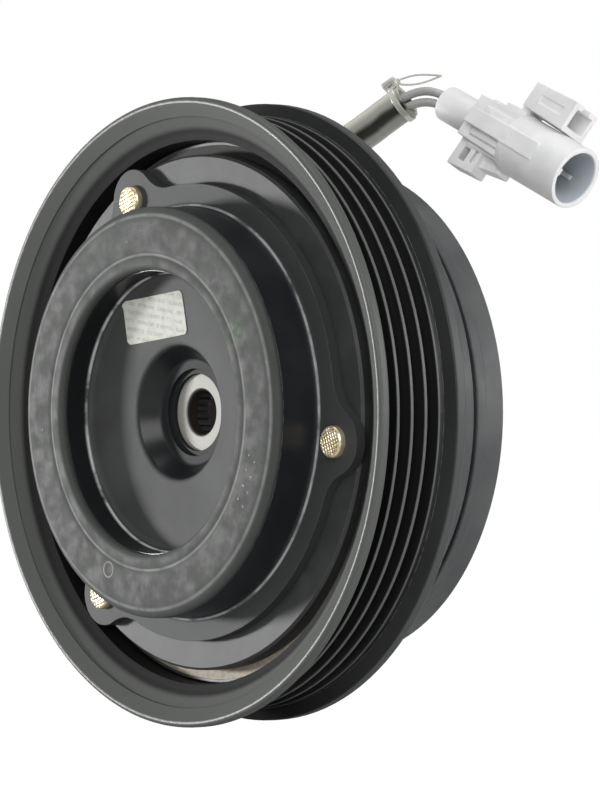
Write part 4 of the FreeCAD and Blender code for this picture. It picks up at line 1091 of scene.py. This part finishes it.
def make_label():
    """The paper label: round corners, draped on the dish and up into its corner."""
    low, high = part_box("hub_label")
    middle = (low + high) / 2 / MM + Vector((LABEL_SHIFT[0], 0, LABEL_SHIFT[1]))
    tilt = math.radians(LABEL_TILT)
    bm = bmesh.new()
    bmesh.ops.create_grid(bm, x_segments=72, y_segments=36, size=0.5)
    for vert in bm.verts:
        place = [vert.co.x * LABEL_SIZE[0], vert.co.y * LABEL_SIZE[1]]
        inset = [LABEL_SIZE[axis] / 2 - LABEL_ROUND for axis in (0, 1)]
        past = [max(0.0, abs(place[axis]) - inset[axis]) for axis in (0, 1)]
        reached = math.hypot(*past)
        if past[0] > 0 and past[1] > 0 and reached > LABEL_ROUND:
            place = [math.copysign(inset[axis] + past[axis] * LABEL_ROUND / reached, place[axis])
                     for axis in (0, 1)]
        x = middle.x + place[0] * math.cos(tilt) - place[1] * math.sin(tilt)
        z = middle.z + place[0] * math.sin(tilt) + place[1] * math.cos(tilt)
        radius = math.hypot(x, z)
        held = min(1.0, LABEL_LIMIT / radius)
        x, z, radius = x * held, z * held, radius * held
        lift = 0.03 + 0.12 * max(0.0, place[0] / LABEL_SIZE[0] - place[1] / LABEL_SIZE[1] - 0.75)
        vert.co = (x, -dish_station(radius) - lift, z)
    bmesh.ops.recalc_face_normals(bm, faces=bm.faces)
    if sum(face.normal.y for face in bm.faces) > 0:
        bmesh.ops.reverse_faces(bm, faces=bm.faces)
    label = object_from(bm, "label_sheet")
    thick = label.modifiers.new("thick", "SOLIDIFY")
    thick.thickness = LABEL_THICKNESS
    thick.offset = 1.0
    settle(label)
    shade(label, 50)
    finish_piece(label, FINISHES["hub_label"], "hub", "label_paper", "hub_label")


def make_grommet():
    """The moulded rubber block and snout that the lead leaves the coil through."""
    mouth = Vector(LEAD_ROUTE[0])
    heading = (Vector(LEAD_ROUTE[1]) - mouth).normalized()
    block = box_mesh((-22.0, -7.5, 43.5), (-7.0, 0.0, 52.5))
    wedge = box_mesh((-20.5, -6.6, 52.0), (-9.0, -0.6, 53.3))
    turn = Vector((1, 0, 0)).rotation_difference(heading).to_matrix().to_4x4()
    turn.translation = mouth - heading * 9.0
    snout = rod_mesh(4.8, 0.0, 9.0, 4.2)
    bmesh.ops.transform(snout, matrix=turn, verts=snout.verts)
    ribs = []
    for place in (5.2, 6.8, 8.3):
        rib = rod_mesh(4.62 - 0.06 * place + 0.15, place - 0.35, place + 0.35)
        bmesh.ops.transform(rib, matrix=turn, verts=rib.verts)
        ribs.append(rib)
    grommet = moulded("grommet_block", [block, wedge, snout, *ribs], [], 0.2, 3)
    rubber = plastic("grommet_rubber", (0.03, 0.03, 0.031), (0.045, 0.045, 0.046), 0.45)
    finish_piece(grommet, rubber, "field", "black_plastic", "lead_grommet")


# ---------------------------------------------------------------- the stage

def aim(obj, target):
    """Turn a light to face a target."""
    obj.rotation_mode = "QUATERNION"
    obj.rotation_quaternion = (Vector(target) - obj.location).to_track_quat("-Z", "Y")


def area_light(name, place, size, watts, colour=(1, 1, 1), target=(0, -0.02, 0)):
    lamp = bpy.data.lights.new(name, "AREA")
    lamp.shape = "DISK"
    lamp.size = size
    lamp.energy = watts
    lamp.color = colour
    light = object_of(name, lamp)
    light.location = place
    aim(light, target)


# How bright the room is beside its white backdrop.
ROOM_LIGHT = 0.3


def floor_paper():
    """White paper, lit by itself so that it meets the backdrop with no line between them."""
    finish = Finish("floor_paper", (0.85, 0.85, 0.85), 0.9)
    tree = finish.tree
    glow = finish.node("ShaderNodeEmission")
    glow.inputs["Strength"].default_value = 1.05
    join = finish.node("ShaderNodeMixShader")
    seen = finish.node("ShaderNodeLightPath").outputs["Is Camera Ray"]
    finish.feed(join.inputs[0], finish.math("MULTIPLY", seen, 0.95))
    tree.links.new(finish.shader.outputs[0], join.inputs[1])
    tree.links.new(glow.outputs[0], join.inputs[2])
    tree.links.new(join.outputs[0], tree.nodes["Material Output"].inputs["Surface"])
    return finish.material


def make_stage():
    """The floor, the room's light and four lamps: a small key low on the hub's side, and three fills."""
    bm = bmesh.new()
    bmesh.ops.create_grid(bm, x_segments=1, y_segments=1, size=6.0)
    floor = object_from(bm, "floor")
    floor.location.z = cad_low.z
    floor.data.materials.append(floor_paper())
    world = bpy.data.worlds.new("studio")
    bpy.context.scene.world = world
    world.use_nodes = True
    tree = world.node_tree
    back = tree.nodes["Background"]
    back.inputs["Color"].default_value = (1.0, 1.0, 1.0, 1.0)
    strength = tree.nodes.new("ShaderNodeMapRange")
    tree.links.new(tree.nodes.new("ShaderNodeLightPath").outputs["Is Camera Ray"], strength.inputs["Value"])
    strength.inputs["To Min"].default_value = ROOM_LIGHT
    strength.inputs["To Max"].default_value = 1.0
    tree.links.new(strength.outputs["Result"], back.inputs["Strength"])
    area_light("key", Vector((-0.82, -0.57, -0.04)) * 0.9, 0.14, 9.0)
    area_light("front_fill", (0.7, -0.75, 0.5), 0.7, 5.5)
    area_light("side_fill", (0.8, 0.42, 0.25), 0.5, 3.8)
    area_light("top", (-0.1, -0.1, 0.9), 0.6, 2.0)


# A long lens from the hub's side, turned from the clutch's axis by the angle in degrees.
CAMERA_PLACE = (0.8593, -0.7153, 0.0025)
CAMERA_TURN = 50.7
CAMERA_LENS = 241.2


def make_camera():
    """The camera, looking level at the clutch."""
    camera = bpy.data.cameras.new("camera")
    camera.sensor_width = 36.0
    camera.lens = CAMERA_LENS
    camera.clip_start = 0.05
    camera.clip_end = 50.0
    seen = object_of("camera", camera)
    seen.location = CAMERA_PLACE
    seen.rotation_euler = (math.radians(90), 0, math.radians(CAMERA_TURN))
    bpy.context.scene.camera = seen
    bpy.context.scene.view_settings.view_transform = "Standard"


RUBBER = moulded_rubber()
MARK_RUBBER = plastic("mark_rubber", (0.13, 0.135, 0.128), (0.17, 0.175, 0.165), 0.6)
make_camera()
make_lead()
make_rubber()
make_rubber_marks()
ejector_ring()
make_rivets()
make_label()
make_grommet()
make_stage()
